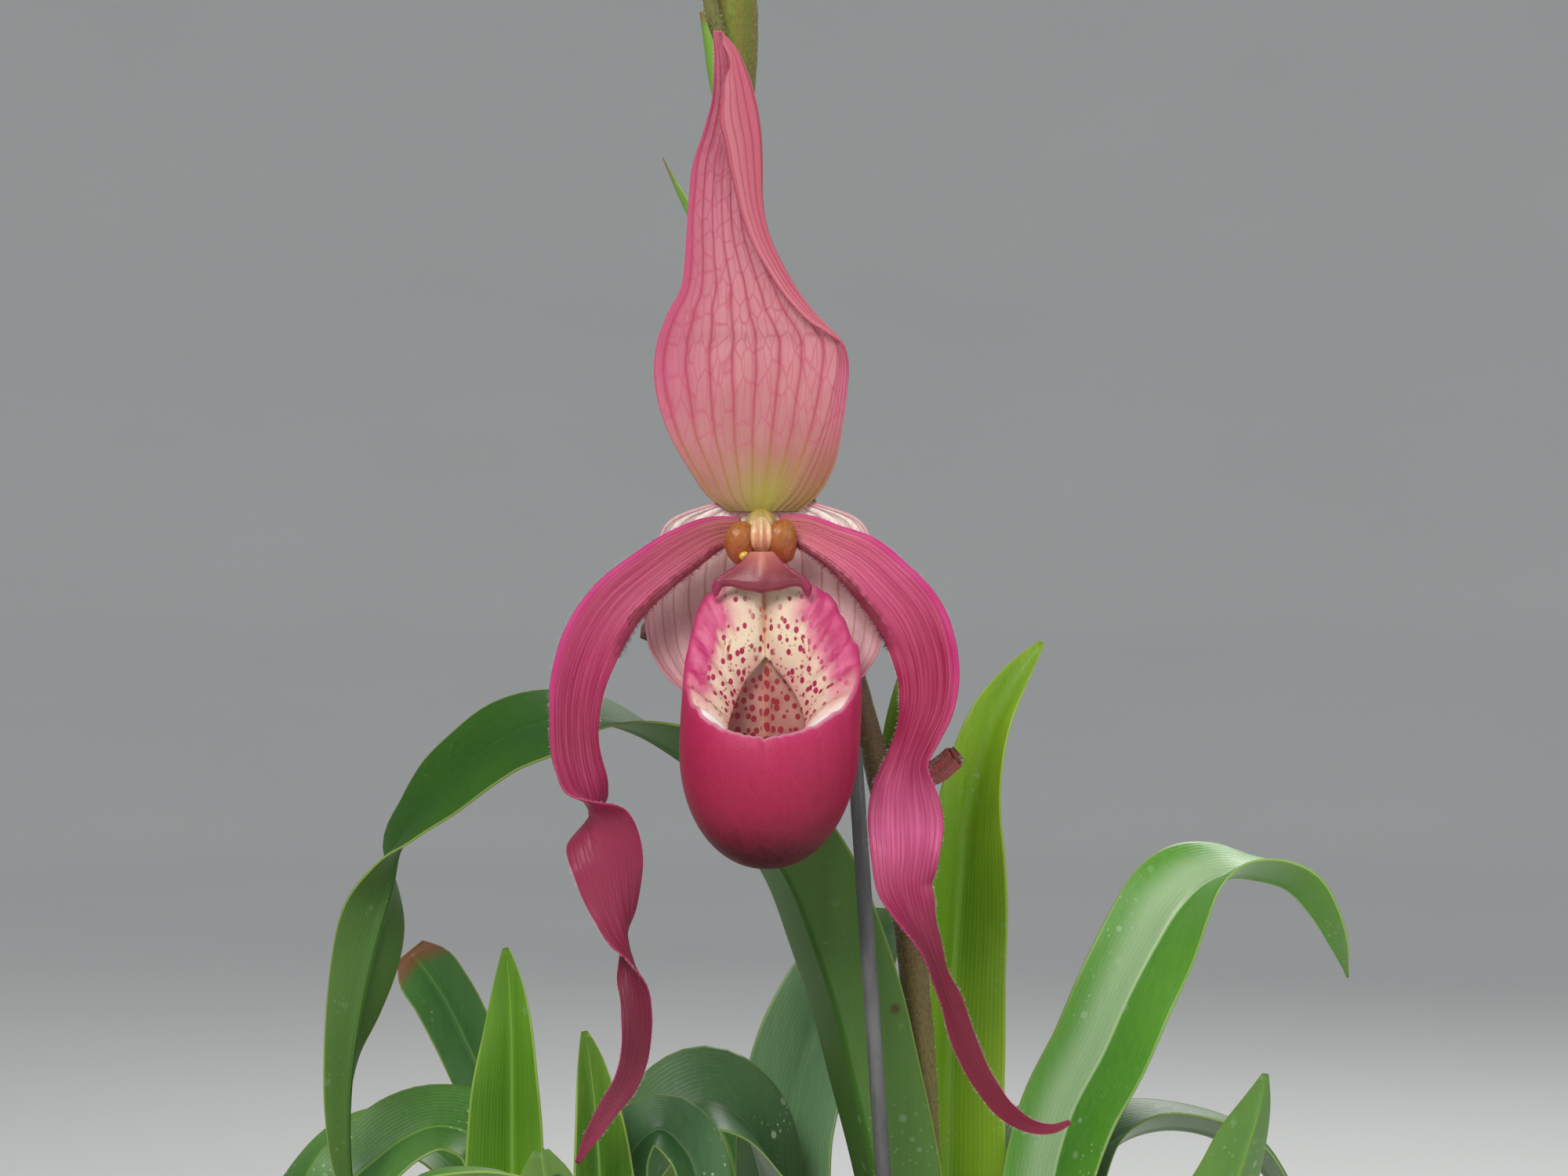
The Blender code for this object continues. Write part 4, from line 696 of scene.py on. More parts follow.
# young tone, old tone, midrib, gloss, water marks, roughness
GREEN = ((96, 148, 46), (48, 100, 26), (112, 150, 52), 0.3, 0.3, 0.4)
LEAF_SKINS = {
    "leaf_upright": ((150, 186, 44), (92, 142, 22), (112, 158, 34), 0.25, 0.15, 0.42),
    "leaf_pointed": ((112, 160, 36), (64, 114, 20), (128, 172, 60), 0.25, 0.1, 0.42),
    "leaf_small_pointed": ((112, 154, 40), (58, 104, 26), (132, 166, 60), 0.25, 0.2, 0.42),
    "leaf_short": ((108, 148, 48), (60, 104, 30), (128, 160, 60), 0.25, 0.4, 0.42),
    "leaf_arching": ((54, 102, 4), (24, 72, 2), (40, 90, 6), 0.06, 0.12, 0.5),
    # leaf_glossy's pale midrib tone is a painted highlight along its midrib.
    "leaf_glossy": ((104, 162, 56), (50, 122, 22), (196, 216, 170), 0.55, 0.35, 0.3),
    "leaf_middle": ((146, 184, 136), (108, 150, 106), (100, 142, 92), 0.4, 0.85, 0.34),
    "leaf_rounded": ((74, 128, 52), (38, 86, 28), (96, 136, 60), 0.35, 0.85, 0.36),
    "leaf_broad_left": ((92, 130, 78), (50, 88, 48), (84, 104, 70), 0.4, 0.7, 0.34),
    "leaf_low_right": ((80, 126, 64), (40, 84, 40), (104, 138, 76), 0.45, 0.8, 0.32),
    "leaf_hooked": ((72, 118, 58), (34, 74, 38), (92, 120, 60), 0.35, 0.75, 0.38),
    "leaf_low_left": ((92, 142, 52), (46, 98, 28), (100, 146, 60), 0.4, 0.45, 0.34),
    "leaf_drooping_left": ((92, 142, 52), (46, 98, 30), (116, 156, 62), 0.4, 0.45, 0.34),
}

# %% [markdown]
# ## Growing the leaves
# Each leaf is one shell on a grid about 1.6 mm fine. Across it, the shell is thickest at the
# keel and a third of that at the margin. A slow sine, with its own phase for each leaf, waves
# the margins by less than a millimetre.

# %% Grow the leaves
LEAF_COLUMNS = 35
LEAF_STEP = 1.7
BASE_HALF_WIDTH = 10.5
BASE_FOLD = 89
BASE_RISE = 18
PIT_FLOOR = 110
GAP = 0.3


def grow_leaf(name, growth, keel, radius, rows, phase):
    """Leaf from its growth's base rows and its own rows, with groove, keel and waved margins."""
    centre, back = GROWTHS[growth]
    back = unit(np.array(back))
    foot = PIT_FLOOR + GAP
    x, y = np.array(centre) + back * keel
    rows = [(x, y, z, BASE_HALF_WIDTH, 0, BASE_FOLD) for z in (foot, foot + BASE_RISE)] + list(rows)
    facing = back * math.copysign(1, keel)
    count = int(path_length(rows) / LEAF_STEP)
    u = sideways(LEAF_COLUMNS)
    v = downwards(count)
    open_part = clamp((v - 0.25) / 0.3) * clamp((1 - v) / 0.1)
    wave = 0.55 * open_part * u**2 * np.sin(v * 23 + phase + 1.7 * np.sign(u))
    wave = wave + 0.3 * open_part * abs(u) ** 3 * np.sin(v * 51 + 2 * phase)
    grid, smooth = blade(
        rows, (facing[1], -facing[0], 0), count, LEAF_COLUMNS,
        fold_radii(FOLD_BLEND, (FOLD_RADIUS, radius)), wave)
    taper = np.clip(smooth[:, 3:4] / 6, 0.35, 1)
    thickness = (1 - 0.62 * abs(u) ** 3) * taper
    thickness = thickness + 0.5 * taper * bell(u * smooth[:, 3:4], 0.8)
    groove = -0.35 * taper * bell(u * smooth[:, 3:4], 0.9)
    return grid, thickness, groove


for number, (name, (growth, keel, radius, rows)) in enumerate(LEAVES.items()):
    grid, thickness, groove = grow_leaf(name, growth, keel, radius, rows, number * 1.3)
    young, old, midrib, gloss, water, roughness = LEAF_SKINS.get(name, GREEN)
    finish, board, skin, place, along, centre, parts = leaf_finish(
        f"skin_{name}", young, old, midrib, gloss, water, number + 1)
    if name == "leaf_rounded":
        skin = board.mix(
            board.step(board.times(along, board.line(centre, 0.01, 1)), 0.975, 0.995), skin, DRY_TONE)
    if name == "leaf_arching":
        skin = board.mix(board.near(place, (22.2, -10, 276.5), 0.5, 1.8), skin, (70, 48, 22))
        skin = board.mix(board.near(place, (23.5, -10, 273), 0.4, 1.5), skin, (140, 150, 60))
    if name == "leaf_short":
        skin = board.mix(board.near(place, (-42, -58, 250), 0.8, 2), skin, (28, 22, 16))
    if name == "leaf_glossy":
        side = blade_places(board)[0]
        # The pale stripe beside the midrib is a painted sheen.
        pale = board.times(board.step(side, 0.06, 0.34), board.step(side, 0.5, 0.46))
        skin = board.tint(skin, pale, 0.55, (192, 214, 176))
    close_leaf(board, skin, parts, roughness)
    add_shell("living_" + name, grid, thickness, finish, name, lift=groove)

# %% [markdown]
# ## Petals
# The two petals hang as long ribbons and turn over on the way down, so both faces show. Rows
# of place, half width, roll and fold, in the bloom's own frame, carry a strip along each.
# Fine hairs fringe the margins, dark and longer near the base.

# %% Petal rows and shape
BLOOM = np.array((-4.5, -35, 370.5))
PETAL_LEFT = [
    (-3.5, -1.2, 0.7, 2.4, 0, 10), (-8.8, -2.4, -0.2, 3.4, -6, 12), (-14.3, -4, -3.1, 4.4, -8, 12),
    (-20.9, -5.8, -7.8, 4.9, -8, 10), (-27.5, -7.2, -13.8, 5.5, -6, 8), (-31.6, -8.4, -20.2, 5.8, 0, 6),
    (-34.3, -9.4, -27.6, 5.5, 6, 6), (-35.3, -10.2, -35.6, 5.1, 14, 6), (-34.6, -11, -43.8, 5.4, 22, 8),
    (-33.3, -11.4, -48.6, 5.9, 36, 14), (-32.2, -11.7, -51.6, 6.3, 70, 24),
    (-31.3, -11.9, -54, 6.7, 116, 24), (-30.3, -12.1, -56.6, 7, 152, 10), (-29, -12.4, -60.6, 7, 172, 4),
    (-27.9, -12.8, -65.8, 6.3, 184, 8), (-26.7, -13.2, -70.8, 5.3, 200, 16),
    (-25.4, -13.6, -76, 4.5, 236, 28), (-24.2, -14, -80.4, 3.9, 274, 30),
    (-23.3, -14.6, -86.2, 3.1, 326, 18), (-23.1, -15.4, -92.7, 2.9, 356, 12),
    (-23.6, -16.2, -98.4, 2.7, 362, 12), (-25.5, -17.2, -103.5, 2.4, 364, 12),
    (-28.4, -18.2, -107.7, 2, 366, 12), (-31.3, -19.2, -112.3, 1.5, 368, 12),
    (-33.9, -20, -117.4, 0.5, 368, 12)]
PETAL_RIGHT = [
    (3.5, -1.2, 0.9, 2.4, 0, 10), (8, -2.4, 0.3, 3.3, 6, 12), (13.5, -4, -2.3, 4.1, 8, 12),
    (18.9, -5.4, -5.5, 5.4, 8, 12), (23.8, -6.8, -10.2, 6, 6, 10), (28.2, -8, -15.5, 6.6, 0, 8),
    (30.7, -9, -20.9, 6.6, -4, 6), (31.9, -9.8, -26.8, 6.2, -6, 6), (31.7, -10.4, -32.7, 5.7, -10, 6),
    (29.9, -10.8, -38.5, 5.5, -26, 6), (28.1, -11, -43.5, 5.7, -30, 6), (27.4, -11.2, -47.9, 6.7, -14, 6),
    (27.5, -11.4, -53.3, 7.4, -4, 4), (27.5, -11.6, -60, 6.8, 4, 8), (27, -12, -66.5, 5.5, 22, 14),
    (28, -12.6, -70.9, 5.1, 44, 18), (30.3, -13.2, -76.2, 4.3, 66, 18), (33.2, -14, -83, 3.1, 70, 14),
    (35.8, -14.8, -88.8, 2.7, 50, 12), (38.4, -15.6, -96.3, 2.5, 34, 12), (42, -16.6, -103.1, 2.1, 24, 12),
    (46, -17.4, -108.1, 1.8, 14, 12), (50.6, -18, -110.8, 1.3, 6, 12), (54.6, -18.4, -111.2, 0.9, 0, 12),
    (57.8, -18.6, -110, 0.5, 0, 12)]
PETAL_COLUMNS = 41
PETAL_ROWS = 310


def petal_grid(rows, ruffles):
    """Strip of a petal in the plant's frame, with long grooves and ruffled margins."""
    start = np.array(rows[1][:3]) - np.array(rows[0][:3])
    placed = [(*(np.array(row[:3]) + BLOOM), *row[3:]) for row in rows]
    u = sideways(PETAL_COLUMNS)
    v = downwards(PETAL_ROWS)
    wave = 0.16 * np.sin(v * 90 + 3 * u) * abs(u) ** 3
    for middle, side, span, height in ruffles:
        wave = wave + height * bell(v - middle, span) * clamp(u * side) ** 2
    steady = fold_radii(FOLD_BLEND, (PETAL_FOLD_RADIUS, PETAL_FOLD_RADIUS))
    grid, smooth = blade(placed, unit(np.cross((0, 1, 0), start)), PETAL_ROWS, PETAL_COLUMNS, steady, wave)
    taper = np.clip(smooth[:, 3:4] / 4, 0.35, 1)
    thickness = (0.85 - 0.5 * abs(u) ** 4) * taper
    grooves = 0.05 * np.cos(u * 21 + 0.6 * np.sin(v * 9)) * (1 - abs(u) ** 6) * taper
    return grid, thickness, grooves


petals = {"petal_left": petal_grid(PETAL_LEFT, ())}
petals["petal_right"] = petal_grid(PETAL_RIGHT, ((0.535, -1, 0.018, 1.4), (0.575, -1, 0.015, -1)))
print("petal grid:", petals["petal_left"][0].shape)

# %% [markdown]
# ## Petal skin
# The face is magenta with darker long stripes and a painted satin sheen between them. It
# starts dusty salmon at the centre, with a crimson band along the lower margin, and ends dark,
# partly its own deep crimson and partly painted shade.
# The back is paler, and its veins show as fine red lines.

# %% Petal finish
def petal_finish(name, lower_edge, stops, reverse_tone):
    """Satin skin: colour stops along, stripes across, a crimson band on the lower margin."""
    finish, board = new_finish(
        name, Sheen_Weight=0.06, Sheen_Roughness=0.4, Sheen_Tint=tone(255, 150, 190),
        Specular_IOR_Level=0.35, flesh=0.12, Subsurface_Radius=(1, 0.35, 0.5))
    across, along, reverse, place = blade_places(board)
    low_side = across if lower_edge else board.less(1, across)
    centre = board.times(board.apart(across, 0.5), 2)
    cloud, grain = living(board, place, 70)
    stripe = veins(board, across, place, 7, 0.05, 1.6)
    vein = veins(board, across, place, 15, 0.04, 6)
    thread = board.point(board.times(across, 46), board.times(along, 9))
    threads = board.noise(thread, 1, 4)
    skin = board.ramp(along, stops)
    # The light threads between the stripes are a painted satin sheen, stronger towards the base.
    sheen_share = board.line(board.step(along, 0.75, 0.45), 0.18, 0.05)
    light = board.mix(sheen_share, skin, (226, 120, 160))
    dark = board.mix(0.42, skin, (122, 10, 52))
    skin = board.mix(board.step(threads, 0.3, 0.72), dark, light)
    skin = board.layers(skin, (stripe, 0.3, dark), (vein, 0.3, (120, 14, 56)))
    rosy = board.times(board.step(low_side, 0.16, 0.02), board.step(along, 0.42, 0.25))
    skin = board.tint(skin, rosy, 0.75, (196, 44, 124))
    band_ends = board.times(board.step(along, 0.015, 0.05), board.step(along, 0.27, 0.16))
    ragged = board.line(board.noise(place, 900, 3), 0.22, low_side)
    band = board.times(board.step(ragged, 0.9, 1.04), band_ends)
    skin = board.mix(band, skin, (112, 8, 34))
    spots = dots(board, place, 900, 0.2, 0.1)
    spots = board.times(spots, board.times(board.step(along, 0.2, 0.06), 0.5))
    skin = board.mix(spots, skin, (120, 50, 50))
    back = board.tint(reverse_tone, vein, 0.75, (150, 30, 72))
    # The back darkens towards the tail, partly its own colour and partly painted shade.
    back = board.layers(
        back, (cloud, 0.2, (140, 34, 70)), (board.step(along, 0.55, 0.85), 0.6, (84, 10, 34)))
    skin = board.mix(reverse, skin, back)
    skin = board.tint(skin, board.step(centre, 0.93, 1), 0.5, (170, 30, 90))
    board.paint(skin, board.line(grain, 0.2, 0.36))
    height = board.line(threads, 0.8, board.times(vein, -0.5))
    height = board.line(grain, 0.3, height)
    board.relief(height, 0.16, 0.7)
    return finish


# The stops are the petals' own colour with painted light in them: the dark tails are partly painted shade,
# and the right petal's light pink near 0.5 is a painted highlight.
PETAL_STOPS = {
    "petal_left": (
        (0, (180, 124, 94)), (0.05, (172, 84, 90)), (0.14, (174, 58, 94)), (0.26, (168, 32, 84)),
        (0.36, (144, 16, 62)), (0.46, (166, 36, 88)), (0.64, (116, 14, 50)), (0.86, (84, 8, 28)),
        (1, (156, 50, 80))),
    "petal_right": (
        (0, (200, 138, 108)), (0.05, (206, 106, 118)), (0.14, (200, 76, 118)), (0.26, (164, 24, 76)),
        (0.38, (150, 18, 68)), (0.5, (206, 94, 144)), (0.58, (160, 38, 84)), (0.7, (100, 4, 24)),
        (0.93, (100, 6, 28)), (1, (146, 46, 72))),
}
for node, lower_edge, back_tone in (
        ("petal_left", False, (136, 34, 66)), ("petal_right", True, (146, 36, 70))):
    grid, thickness, grooves = petals[node]
    skin = petal_finish(node + "_satin", lower_edge, PETAL_STOPS[node], back_tone)
    add_shell("living_" + node, grid, thickness, skin, node, lift=grooves)
print("petals made")

# %% [markdown]
# ## Dorsal sepal
# The tall sepal behind the petals is a broad shield below. Higher up its right side folds
# over to the front, so a strip of its back shows, and its tip leans towards the viewer. The
# right part is turned about the fold line in small steps, which rounds the fold.

# %% Dorsal sepal
DORSAL = [
    (2.6, 4.5, 4.1, 8.4, 4.6, 0), (5.6, 4.5, 7.1, 15.7, 5.2, 0), (8.4, 4.6, 12.1, 22.1, 5.4, 0),
    (11.6, 4.6, 19.7, 29.6, 4, 4), (13.7, 4.4, 27.2, 34, 3, 12), (14.7, 4, 33.2, 35.4, 2.4, 30),
    (14.4, 3.2, 37.2, 34.4, 2.2, 70), (12.4, 2.6, 39.7, 31.4, 2.4, 115), (9.8, 2, 42.4, 27.7, 2.8, 145),
    (6.6, 1, 46.7, 22.2, 3.2, 158), (3.9, -0.4, 51.4, 18.8, 3.6, 162), (1.4, -2.2, 56.8, 15.9, 4, 164),
    (0.2, -4.2, 62.6, 14.3, 4.9, 164), (0.1, -7, 69.7, 13.3, 6.7, 164), (-0.1, -9.4, 75.3, 11.1, 7.5, 164),
    (-0.9, -12, 80.9, 8.6, 8.1, 164), (-2.5, -14.6, 86.2, 6.5, 6.9, 164),
    (-4.6, -16.6, 90.4, 4.3, 4.7, 164), (-7.1, -17.8, 93.1, 1.9, 2.1, 164)]
DORSAL_FOLD_SHARE = 0.62
DORSAL_FOLD_WIDTH = 1.7
DORSAL_CUP = 0.01
DORSAL_STEPS = 36


def dorsal_grid(count, across):
    """Points at signed widths from the fold line, summed in steps that turn with the fold."""
    rows = smooth_rows(DORSAL, count)
    axis = unit(np.gradient(rows[:, :3], axis=0))[:, None]
    shares = np.linspace(0, 1, across)[None, :]
    left = np.maximum(rows[:, 3:4], 0.3)
    right = np.maximum(rows[:, 4:5], 0.3)
    below = -left * (1 - shares / DORSAL_FOLD_SHARE)
    above = right * (shares - DORSAL_FOLD_SHARE) / (1 - DORSAL_FOLD_SHARE)
    step = np.where(shares <= DORSAL_FOLD_SHARE, below, above) / DORSAL_STEPS
    fold = -np.radians(rows[:, 5:6])
    flat = np.array((1, 0, 0))
    upright = np.cross(axis, flat)
    leaning = axis * axis[..., :1]
    points = np.broadcast_to(rows[:, None, :3], (count, across, 3)).copy()
    for index in range(DORSAL_STEPS):
        u = (index + 0.5) * step
        share = clamp((u + DORSAL_FOLD_WIDTH) / (2 * DORSAL_FOLD_WIDTH))
        share = share * share * (3 - 2 * share)
        angle = (fold * share - DORSAL_CUP * (u + left * 0.5) * (1 - share))[..., None]
        turned_flat = flat * np.cos(angle) + upright * np.sin(angle) + leaning * (1 - np.cos(angle))
        points = points + step[..., None] * turned_flat
    return points + BLOOM, rows, shares


grid, rows, shares = dorsal_grid(200, 85)
lean = np.clip(rows[:, 3:4] / 12, 0.3, 1)
ribs = 0.07 * np.cos(shares * 62) * lean
edge = abs(shares - 0.5) * 2
finish, board, across, along, reverse, place, cloud, grain = living_finish(
    "dorsal_satin", 60, Sheen_Weight=0.05, Specular_IOR_Level=0.35, flesh=0.14,
    Subsurface_Radius=(1, 0.5, 0.5))
vein = veins(board, across, place, 13, 0.045, 5)
thin = veins(board, across, place, 34, 0.08, 6)
net = board.net(place, (520, 520, 150))
net = board.step(net, 0.1, 0)
skin = board.ramp(
    along, ((0, (108, 94, 14)), (0.035, (132, 98, 36)), (0.09, (150, 94, 74)), (0.2, (172, 106, 108)),
    (0.34, (196, 126, 134)), (0.65, (204, 124, 142)), (1, (186, 88, 116))))
fade = board.step(along, 0.02, 0.22)
skin = board.tint(skin, cloud, 0.25, (222, 168, 168))
flank = board.step(board.apart(across, 0.4), 0.12, 0.42)
skin = board.layers(
    skin, (flank, board.step(along, 0.1, 0.3), (186, 98, 122)),
    (board.times(net, fade), 0.5, (184, 74, 104)), (board.times(thin, fade), 0.3, (184, 84, 108)))
olive = board.mix(board.step(along, 0.06, 0.26), (150, 104, 40), (168, 40, 76))
skin = board.tint(skin, vein, 0.82, olive)
middle = board.apart(across, 0.42)
green = board.times(board.step(middle, 0.3, 0.02), board.step(along, 0.17, 0.03))
skin = board.tint(skin, green, 0.8, (152, 144, 40))
outer = board.times(board.apart(across, 0.5), 2)
rosy = board.times(board.step(outer, 0.86, 1), board.step(along, 0.12, 0.5))
skin = board.tint(skin, rosy, 0.7, (192, 70, 116))
back = board.mix(board.step(across, 0.72, 0.98), (196, 96, 116), (206, 122, 134))
# The crimson band along the back's outer margin is painted shade at the edge of the folded strip.
back = board.layers(back, (vein, 0.65, (150, 34, 62)), (board.step(across, 0.955, 1), 0.8, (170, 30, 72)))
skin = board.mix(reverse, skin, back)
board.paint(skin, board.line(grain, 0.2, 0.42))
height = board.line(thin, 0.3, board.line(vein, -0.7, grain))
board.relief(height, 0.14, 0.6)
dorsal = add_shell(
    "living_dorsal_sepal", grid, (0.85 - 0.45 * edge**4) * lean, finish, "dorsal_sepal", lift=ribs)
dorsal_points = grid
print("dorsal sepal faces:", len(dorsal.data.polygons))

# %% [markdown]
# ## Synsepal
# The two lower sepals have grown together into one bowl behind the pouch. It is pale pink
# with tan veins that spread from its foot, and near-white shoulders. Its tones are set lighter
# than that pink, painted light for the shade it stands in behind the pouch.

# %% Synsepal
SYNSEPAL_X = 0.8
SYNSEPAL_BELL = 1.45
SYNSEPAL = [
    (6.2, 5.8, 9.4, 1), (6.6, 3.9, 15.4, 2.2), (7, -1.6, 20.6, 3.6), (7.4, -9, 22.6, 5.4),
    (7.4, -17, 22.8, 6.6), (7, -24, 21, 6.4), (6.4, -29.5, 16.4, 4.6), (5.8, -33, 10.4, 2.4),
    (5.4, -35, 3.6, 0.6)]
rows = smooth_rows([(0, y, z, w, f) for y, z, w, f in SYNSEPAL], 90)[::-1]
u = sideways(81)
x = SYNSEPAL_X + rows[:, 3:4] * np.sin(u * SYNSEPAL_BELL) / math.sin(SYNSEPAL_BELL)
y = rows[:, 1:2] - rows[:, 4:5] * u**2 + 0.25 * np.cos(u * 30) * (1 - u**4) * np.clip(rows[:, 3:4] / 20, 0,
                                                                                      1)
grid = stacked(x, y, np.broadcast_to(rows[:, 2:3], x.shape)) + BLOOM
finish, board, across, along, reverse, place, cloud, grain = living_finish(
    "synsepal_satin", 60, Specular_IOR_Level=0.35, flesh=0.14, Subsurface_Radius=(1, 0.6, 0.55))
vein = veins(board, across, place, 17, 0.03, 9)
net = board.net(place, (480, 480, 190))
# The ramp's tones are lighter than the sepal's own pale pink: painted light for the shade it stands in.
skin = board.ramp(
    along, ((0, (222, 150, 168)), (0.3, (236, 190, 196)), (0.8, (244, 212, 206)), (0.93, (250, 240, 232)),
    (0.975, (248, 234, 228)), (1, (226, 130, 158))))
skin = board.layers(
    skin, (board.step(net, 0.12, 0), 0.25, (214, 140, 158)), (cloud, 0.3, (240, 206, 208)),
    (vein, 0.72, (182, 128, 78)))
outer = board.times(board.apart(across, 0.5), 2)
skin = board.tint(skin, board.step(outer, 0.9, 1), 0.5, (206, 96, 130))
back = board.tint((214, 156, 158), vein, 0.6, (150, 70, 76))
skin = board.mix(reverse, skin, back)
board.paint(skin, board.line(grain, 0.2, 0.42))
board.relief(board.line(vein, -0.8, grain), 0.15, 0.6)
synsepal = add_shell("living_synsepal", grid, 0.85 - 0.4 * u**4, finish, "synsepal")
print("synsepal faces:", len(synsepal.data.polygons))

# %% [markdown]
# ## Pouch
# The lip is a slipper. Its rim folds inwards as a collar that narrows to a throat, and below
# the rim a deep toe hangs. Lines run from the collar's free edge over the ridge and down to
# the toe, for every turn about the upright axis, so the mouth rows steer collar and wall.

# %% Pouch surface
POUCH_MOUTH = [
    (90, 0.4, -5.8, -3.2, 1, -23.6, -7), (70, 5.2, -8.6, -5, 2.8, -25.6, -7.6),
    (50, 12.3, -11.6, -6.6, 5, -28, -8.8), (30, 15.8, -17.5, -9.5, 6.9, -31, -11),
    (8, 18.5, -24.3, -13.5, 8.2, -34, -14.6), (-15, 17, -31, -19, 8.7, -36.5, -19),
    (-40, 11.2, -35.7, -24, 7.6, -38.3, -21), (-65, 5.2, -37.7, -26.6, 4.4, -39.9, -22.8),
    (-90, 0.9, -38.2, -27.2, 0.9, -40.4, -23.2), (-115, -3.5, -37.7, -26.6, -2.7, -39.9, -22.8),
    (-140, -8.9, -35.7, -24, -5.8, -38.3, -21), (-165, -12.7, -31.6, -19, -6.2, -36.5, -19),
    (-188, -13.8, -26.5, -14, -5.5, -34, -14.6), (-210, -12.6, -19.1, -9.5, -4.4, -31, -11),
    (-230, -10.3, -12.6, -6.6, -2.9, -28, -8.8), (-250, -4.1, -8.6, -5, -0.8, -25.6, -7.6)]
POUCH_CENTRE_X = 1.3
WIDEST_Z = -40
FLOOR_Z = -62.8
POUCH_HALF_WIDTH = 16.3
POUCH_HALF_DEPTH = 15.8
POUCH_CENTRE_Y = -13.6
TOE_POWER = 2.1
SHOULDER = 34
NARROWING = 0.28
SHALLOWING = 0.3
POUCH_LEAN = 2
WALL_EASE = 1.55
COLLAR_BULGE = (0, -0.16, 0.14)
COLLAR_ROWS = 40
WALL_ROWS = 80
POUCH_TURNS = 168


def mouth_rows(turn):
    """Ridge and inner edge for an array of turns: a Catmull-Rom cubic through a closed table."""
    table = np.array(POUCH_MOUTH, dtype=float)
    count = len(table)
    cell = np.floor(turn * count).astype(int)
    t = (turn * count - cell)[:, None]
    before, start, end, after = (table[(cell + k) % count] for k in (-1, 0, 1, 2))
    for rows, k in ((before, -1), (start, 0), (end, 1), (after, 2)):
        rows[:, 0] -= 360 * np.floor((cell + k) / count)
    return 0.5 * (
        2 * start + (end - before) * t + (2 * before - 5 * start + 4 * end - after) * t**2
        + (3 * start - before - 3 * end + after) * t**3)


def pouch_body(angle, height):
    """Oval of the bag at a height, which leans and narrows upwards and closes to a round toe."""
    drop = clamp((WIDEST_Z - height) / (WIDEST_Z - FLOOR_Z))
    close = (1 - drop**TOE_POWER) ** (1 / TOE_POWER)
    rise = np.maximum(0, height - WIDEST_Z) / SHOULDER
    half_width = POUCH_HALF_WIDTH * close * (1 - NARROWING * rise**2)
    half_depth = POUCH_HALF_DEPTH * close * (1 - SHALLOWING * rise)
    return stacked(
        POUCH_CENTRE_X + half_width * np.cos(angle),
        POUCH_CENTRE_Y + POUCH_LEAN * rise + half_depth * np.sin(angle), height + 0 * angle)


turn = np.arange(POUCH_TURNS) / POUCH_TURNS
rows = mouth_rows(turn)
angle = np.radians(rows[:, 0])
ridge = rows[:, (1, 3, 2)]
inner = rows[:, (4, 6, 5)]
flank = bell(np.minimum(abs(turn - 0.26), abs(turn - 0.76)) - 0.03, 0.1)
ripple = 0.34 * flank * np.sin(turn * math.tau * 23)
ripple = ripple - 0.7 * bell(turn - 0.497, 0.008) + 0.1 * np.sin(turn * math.tau * 41)
ridge = ridge + ripple[:, None] * np.array((0.35, 0, 1))
span = np.linalg.norm(ridge - inner, axis=1, keepdims=True)
bulge = (ridge + inner) / 2 + span * np.array(COLLAR_BULGE)
t = np.linspace(0, 1, COLLAR_ROWS, endpoint=False)[:, None, None]
collar = inner * (1 - t) ** 2 + 2 * bulge * t * (1 - t) + ridge * t**2
s = downwards(WALL_ROWS)
height = ridge[None, :, 2] + (FLOOR_Z + 0.05 - ridge[None, :, 2]) * (1 - (1 - s) ** WALL_EASE)
offset = ridge - pouch_body(angle, ridge[:, 2])
wall = pouch_body(angle[None, :], height) + offset * ((1 - s) ** 3)[..., None]
wall[-1] = wall[-1].mean(axis=0) + (wall[-1] - wall[-1].mean(axis=0)) * 0.05
middle = np.concatenate((collar, wall))
share = np.concatenate((np.linspace(0, 1, COLLAR_ROWS, endpoint=False), np.ones(WALL_ROWS)))[:, None]
to_top = np.minimum(turn, 1 - turn)[None, :]
cushions = 0.9 * bell(to_top - 0.075, 0.05) - 1.1 * bell(to_top, 0.016)
folds = 0.22 * flank[None, :] * np.sin(turn * math.tau * 23 + 1)[None, :]
window = clamp(share / 0.25) * clamp((1 - share) / 0.3)
keel = np.concatenate((np.zeros(COLLAR_ROWS), np.sin(np.linspace(0, math.pi, WALL_ROWS))))[:, None]
swelling = window * (cushions + folds) + 0.35 * keel * bell(turn[None, :] - 0.5, 0.02)
middle = middle + BLOOM
wall_start = COLLAR_ROWS / (COLLAR_ROWS + WALL_ROWS - 1)
print("pouch grid:", middle.shape, "ridge at", round(wall_start, 4))

# %% [markdown]
# ## Pouch skin
# Outside, the toe is deep crimson velvet, darkened towards its foot by painted shade and lit
# above by painted light. The collar is cream with crimson freckles near the throat and rose
# towards its side rims. Inside, the back wall is cream too, and freckled, its cream set lighter
# as painted light for the glow through the wall. The collar and the toe share one UV map, and
# where along it a point lies says which it is.

# %% Pouch finish
finish, board = new_finish(
    "pouch_velvet", Sheen_Weight=0.08, Sheen_Roughness=0.35, Sheen_Tint=tone(255, 120, 170),
    Specular_IOR_Level=0.35, flesh=0.1, Subsurface_Radius=(1, 0.3, 0.4))
around, along, reverse, place = blade_places(board)
cloud, grain = living(board, place, 90)
collar_share = board.sums("DIVIDE", along, wall_start)
wall_share = board.sums("DIVIDE", board.less(along, wall_start), 1 - wall_start)
from_top = board.apart(board.sums("FRACT", board.plus(around, 0.5)), 0.5)
flow = board.point(board.times(around, 60), board.times(along, 10))
flames = board.noise(flow, 1, 3)
